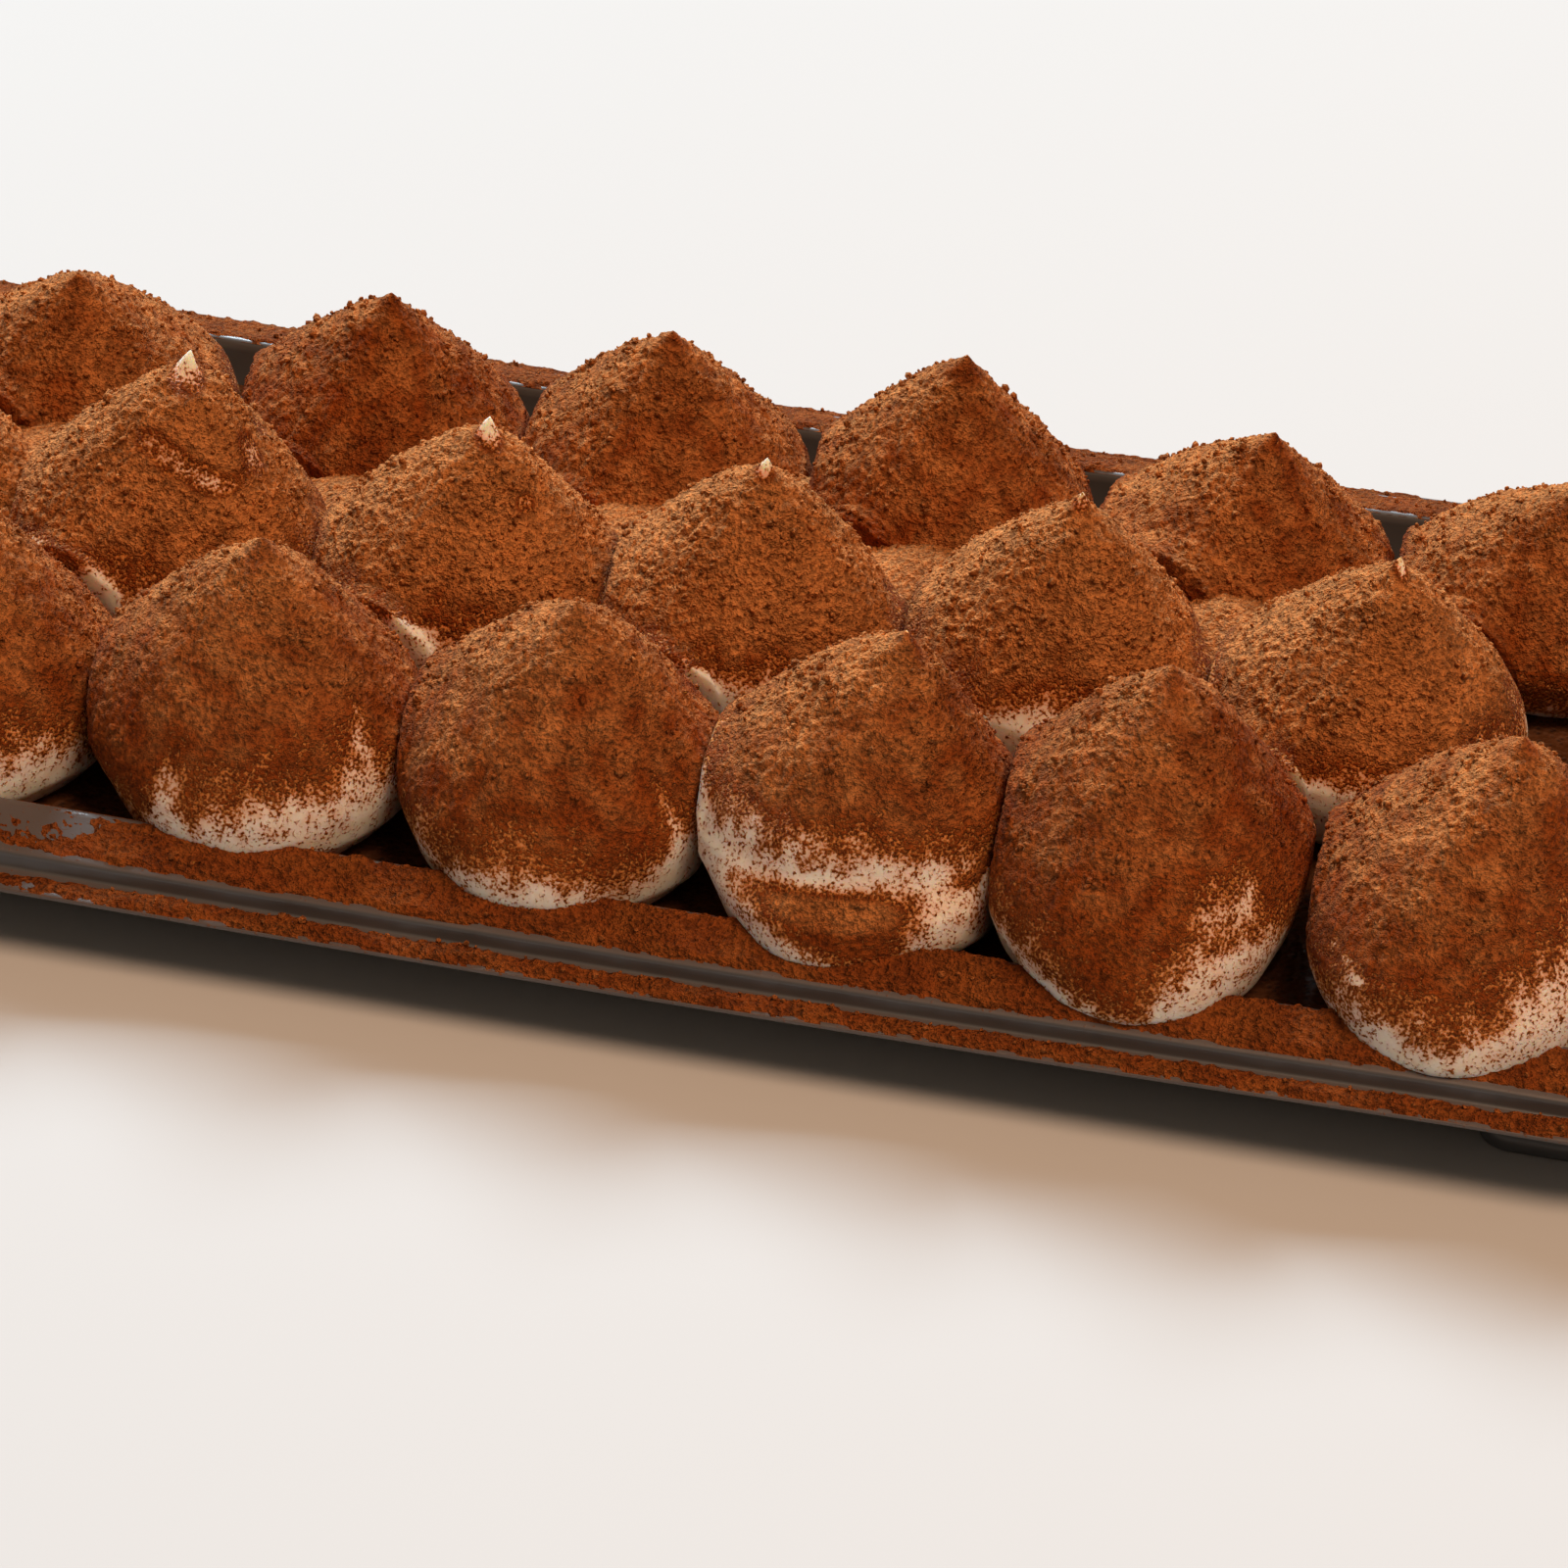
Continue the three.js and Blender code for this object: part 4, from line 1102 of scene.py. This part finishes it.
def rim_layer(name, inner, outer, seed):
    """A cocoa layer between two places (offset, height) on the rim's section."""
    span = math.dist(inner, outer)
    share = np.linspace(0, 1, max(4, round(span / LAYER_STEP)))
    rings = swept(inner + np.outer(share, np.subtract(outer, inner)), LAYER_STEP)
    columns = len(rings[0])
    points = np.concatenate(rings)
    gap = np.repeat(np.minimum(share, 1 - share) * span, columns)
    amount, thick = layer_amount(points, gap, seed)
    crust = layered(clumps, points, [(0.6, 1.7, seed + 4), (0.4, 0.95, seed + 5)])
    heap = HEAP_BASE + HEAP_RISE * np.maximum(0, 0.5 + noise(points, HEAP_SIZE, seed + 6))
    heap *= THIN_HEAP + (1 - THIN_HEAP) * thick
    height = amount * (heap + LAYER_CRUST * crust) - SUNK
    points[:, 2] += height
    seats = np.random.default_rng(seed).choice(
        np.flatnonzero(amount > SEAT_AMOUNT), CRUMBS_PER_LAYER, replace=False)
    CRUMB_SEATS.append((points[seats], np.tile([0, 0, 1.0], (CRUMBS_PER_LAYER, 1)),
                        np.full(CRUMBS_PER_LAYER, RIM_DRYNESS)))
    faces = sheet_faces(len(rings), columns)
    faces = faces[(height[faces] > DROPPED_BELOW).any(axis=1)]
    used, faces = np.unique(faces, return_inverse=True)
    piece = make_piece(name, points[used], faces.reshape(-1, 4).tolist(), LOOSE_COCOA,
                       marks={"crust": crust[used]})
    print(name, len(piece.data.polygons), "faces")


rim_layer("cocoa_on_flange", (-FLANGE_WIDTH - 0.6, MOUTH_TOP - 0.1), (-0.7, BAND_TOP + 0.12),
          50)
rim_layer("cocoa_on_ledge", (0.9, LEDGE_TOP), (LEDGE_WIDTH - 0.25, LEDGE_TOP - 0.1), 70)

# %% [markdown]
# ## Hollows between the back rows
# Where three dollops of the middle and back rows meet, the soft cream has run together
# and cocoa lies level over it. The dollops' own surfaces could be bent to meet there, but
# that would tear their rings. So each hollow is closed by a low round mound whose edge
# stays hidden under the dollops, at the height of the saddles between them.

# %% Hollows
HOLLOW_REACH, HOLLOW_RISE, HOLLOW_SUNK = 13.0, 3.0, 0.8
HOLLOW_SPAN = 56.0                 # feet of a trio are no further apart than this
HOLLOW_SIDES = 96
HOLLOW_CRUST = [(0.6, 1.7, 91), (0.4, 1.15, 92)]   # height, width, seed
HOLLOW_LIFT = 0.8


def saddle_height(one, other):
    """Height at which the slopes of two neighbours meet, half way between their feet."""
    span = math.dist(one["foot"], other["foot"])
    level = np.interp(span / (one["radius"] + other["radius"]), PROFILE[:0:-1, PLUMP],
                      PROFILE[:0:-1, 0])
    return DOLLOP_BASE + (min(one["tip"][2], other["tip"][2]) - DOLLOP_BASE) * level


def round_centre(first, second, third):
    """The place that is equally far from three feet."""
    return np.linalg.solve(2 * np.array([second - first, third - first]), [
        second @ second - first @ first, third @ third - first @ first])


def fill_hollows():
    rows = round(HOLLOW_REACH / LAYER_STEP)
    out = np.repeat(np.linspace(0.02, 1, rows), HOLLOW_SIDES)
    turn = np.tile(2 * np.pi * np.arange(HOLLOW_SIDES) / HOLLOW_SIDES, rows)
    plan = HOLLOW_REACH * out[:, None] * np.stack([np.cos(turn), np.sin(turn)], axis=1)
    sheet = sheet_faces(rows, HOLLOW_SIDES)
    points, faces = [], []
    for trio in itertools.combinations(DOLLOPS, 3):
        pairs = list(itertools.combinations(trio, 2))
        if {dollop["row"] for dollop in trio} != {"middle", "back"} or max(
                math.dist(a["foot"], b["foot"]) for a, b in pairs) > HOLLOW_SPAN:
            continue
        saddle = np.mean([saddle_height(a, b) for a, b in pairs])
        height = saddle - HOLLOW_SUNK + HOLLOW_RISE * (1 - out ** 2) ** 2
        faces.append(sheet + len(points) * rows * HOLLOW_SIDES)
        points.append(np.column_stack([
            plan + round_centre(*(dollop["foot"] for dollop in trio)), height]))
    points = np.concatenate(points)
    crust = layered(clumps, points, HOLLOW_CRUST)
    points[:, 2] += HOLLOW_LIFT * (crust + noise(points, 9, 93))
    full = np.ones(len(points))
    piece = make_piece("cocoa_in_hollows", points, np.concatenate(faces).tolist(), COCOA_CREAM,
                       marks={"cocoa": full, "dry": full, "crust": crust})
    print("hollows:", len(faces), "with", len(piece.data.polygons), "faces")


fill_hollows()

# %% [markdown]
# ## Loose crumbs
# Cocoa also falls as single crumbs of half a millimetre to a little over one. Instances
# on points would be lighter, but the crumbs have to be real mesh at their true size, and
# each should be a little different. So they are rough balls of twenty faces each, turned
# at random, on the seats noted above.

# %% A ball of twenty faces
def twenty_faced_ball():
    """Twelve corners of a regular ball with radius 1, and its twenty triangles."""
    golden = (1 + math.sqrt(5)) / 2
    corners = np.array([(0, a, b * golden) for a in (-1, 1) for b in (-1, 1)])
    ball = np.concatenate([np.roll(corners, turn, axis=1) for turn in range(3)])
    ball /= np.linalg.norm(ball[0])
    gaps = np.linalg.norm(ball[:, None] - ball[None], axis=2)
    near = (gaps > 0.1) & (gaps < 1.2)         # the sides of its triangles are 1.05 long
    sides = [(a, b, c) for a, b, c in itertools.combinations(range(12), 3)
             if near[a, b] and near[b, c] and near[a, c]]
    outward = [(a, b, c) if np.linalg.det(ball[[a, b, c]]) > 0 else (a, c, b)
               for a, b, c in sides]
    return ball, np.array(outward)


print("ball:", len(twenty_faced_ball()[1]), "faces")

# %% Crumbs
CRUMB_SIZE, CRUMB_SPREAD = 0.34, 0.35      # middle radius in mm, and how much it varies
CRUMB_LEAST, CRUMB_MOST = 0.2, 0.85        # smallest and largest radius in mm
CRUMB_ROUGHNESS, CRUMB_SHAPE = 0.18, (1, 0.85, 0.7)
CRUMB_RAISED = 0.35                        # share of the radius that stands proud


def scatter_crumbs():
    ball, sides = twenty_faced_ball()
    places, ways, dry = (np.concatenate(parts) for parts in zip(*CRUMB_SEATS))
    rng = np.random.default_rng(5)
    count, corners = len(places), len(ball)
    radius = np.clip(CRUMB_SIZE * np.exp(CRUMB_SPREAD * rng.normal(size=count)),
                     CRUMB_LEAST, CRUMB_MOST)
    turned = np.linalg.qr(rng.normal(size=(count, 3, 3)))[0]
    turned *= np.sign(np.linalg.det(turned))[:, None, None]
    rough = 1 + CRUMB_ROUGHNESS * rng.normal(size=(count, corners, 1)).clip(-1.5, 1.5)
    shape = (ball * rough * CRUMB_SHAPE) @ turned
    middle = places + ways * (radius * CRUMB_RAISED)[:, None]
    points = middle[:, None] + shape * radius[:, None, None]
    faces = (sides + corners * np.arange(count)[:, None, None]).reshape(-1, 3)
    full = np.ones(count * corners)
    crumbs = make_piece("loose_cocoa_crumbs", points.reshape(-1, 3), faces.tolist(),
                        COCOA_CREAM,
                        marks={"cocoa": full, "crust": full, "dry": np.repeat(dry, corners)})
    print("crumbs:", count, "with", len(crumbs.data.polygons), "faces")


scatter_crumbs()

# %% [markdown]
# ## Camera
# The photograph looks down at 34 degrees from a metre away, a little from the right, with
# the camera turned slightly so that the dish runs down to the right. Aiming with a
# constraint would lose that turn, so the camera's three directions are worked out.

# %% Camera
ELEVATION, AZIMUTH, ROLL = (math.radians(a) for a in (34.0, 9.89, 3.53))
DISTANCE, TARGET, FOCAL_MM = 953.0, np.array([31.08, -29.92, 14.5]), 151.45
SENSOR_MM, NEAR_M, FAR_M = 36.0, 0.05, 20


def make_camera():
    ahead = np.array([-math.sin(AZIMUTH) * math.cos(ELEVATION),
                      math.cos(AZIMUTH) * math.cos(ELEVATION), -math.sin(ELEVATION)])
    level = np.array([math.cos(AZIMUTH), math.sin(AZIMUTH), 0])
    up = np.cross(level, ahead)
    right = math.cos(ROLL) * level + math.sin(ROLL) * up
    top = -math.sin(ROLL) * level + math.cos(ROLL) * up
    camera = bpy.data.objects.new("camera", bpy.data.cameras.new("camera"))
    bpy.context.collection.objects.link(camera)
    camera.data.sensor_width, camera.data.lens = SENSOR_MM, FOCAL_MM
    camera.data.clip_start, camera.data.clip_end = NEAR_M, FAR_M
    turned = np.column_stack([right, top, -ahead])
    place = Matrix([(*row, 0) for row in turned] + [(0, 0, 0, 1)])
    place.translation = (TARGET - DISTANCE * ahead) * MM
    camera.matrix_world = place
    bpy.context.scene.camera = camera


make_camera()
print("camera:", FOCAL_MM, "mm lens,", DISTANCE, "mm from its target")

# %% [markdown]
# ## Light and table
# A pale seamless table and soft light, as in a room by day: a wide cool window high up
# behind and to the left, so that shadows come towards the camera, a smaller warm lamp
# overhead that reaches the tops and the right flanks, and a weak warm glow from the room.
# A sky texture would light the fronts too evenly.

# %% Table
TABLE_HALF_M, TABLE_CLOUD_MM = 3.0, 400.0


def make_table():
    half = TABLE_HALF_M
    table = bpy.data.meshes.new("table")
    table.from_pydata([(-half, -half, 0), (half, -half, 0), (half, half, 0), (-half, half, 0)],
                      [], [(0, 1, 2, 3)])
    material, tree, shader, place = new_material("pale table", Roughness=0.9)
    cloud = add_node(tree, "TexNoise", "Fac", {
        "Vector": place, "Scale": per_size(TABLE_CLOUD_MM)})
    tone = add_node(tree, "Mix", MIX_RESULT, {
        0: cloud, MIX_A: linear("#C4C3C2"), MIX_B: linear("#C7C6C5")}, data_type="RGBA")
    set_inputs(tree, shader, {"Base Color": tone})
    table.materials.append(material)
    piece = bpy.data.objects.new("table", table)
    bpy.context.collection.objects.link(piece)


make_table()
print("table:", 2 * TABLE_HALF_M, "m wide")

# %% Light
ROOM_COLOUR, ROOM_STRENGTH = linear("#FFE6CC"), 0.15


def add_light(name, place, size, watts, colour):
    """A rectangular lamp at a place in metres, turned towards the middle of the dish."""
    lamp = bpy.data.lights.new(name, "AREA")
    lamp.shape, lamp.size, lamp.size_y = "RECTANGLE", size[0], size[1]
    lamp.energy, lamp.color = watts, linear(colour)[:3]
    light = bpy.data.objects.new(name, lamp)
    bpy.context.collection.objects.link(light)
    light.location = place
    light.rotation_mode = "QUATERNION"
    light.rotation_quaternion = Vector(place).to_track_quat("Z", "Y")
    print(name, watts, "W at", place)


add_light("window_light", (-2.0, 3.6, 2.9), (3.4, 1.0), 500, "#D9F1FF")
add_light("warm_light", (1.2, -0.5, 3.0), (1.5, 1.2), 78, "#FFD3AE")
world = bpy.data.worlds.new("room")
world.use_nodes = True
set_inputs(world.node_tree, world.node_tree.nodes["Background"],
           {"Color": ROOM_COLOUR, "Strength": ROOM_STRENGTH})
bpy.context.scene.world = world
bpy.context.scene.view_settings.view_transform = "Standard"
bpy.context.scene.view_settings.look = "None"
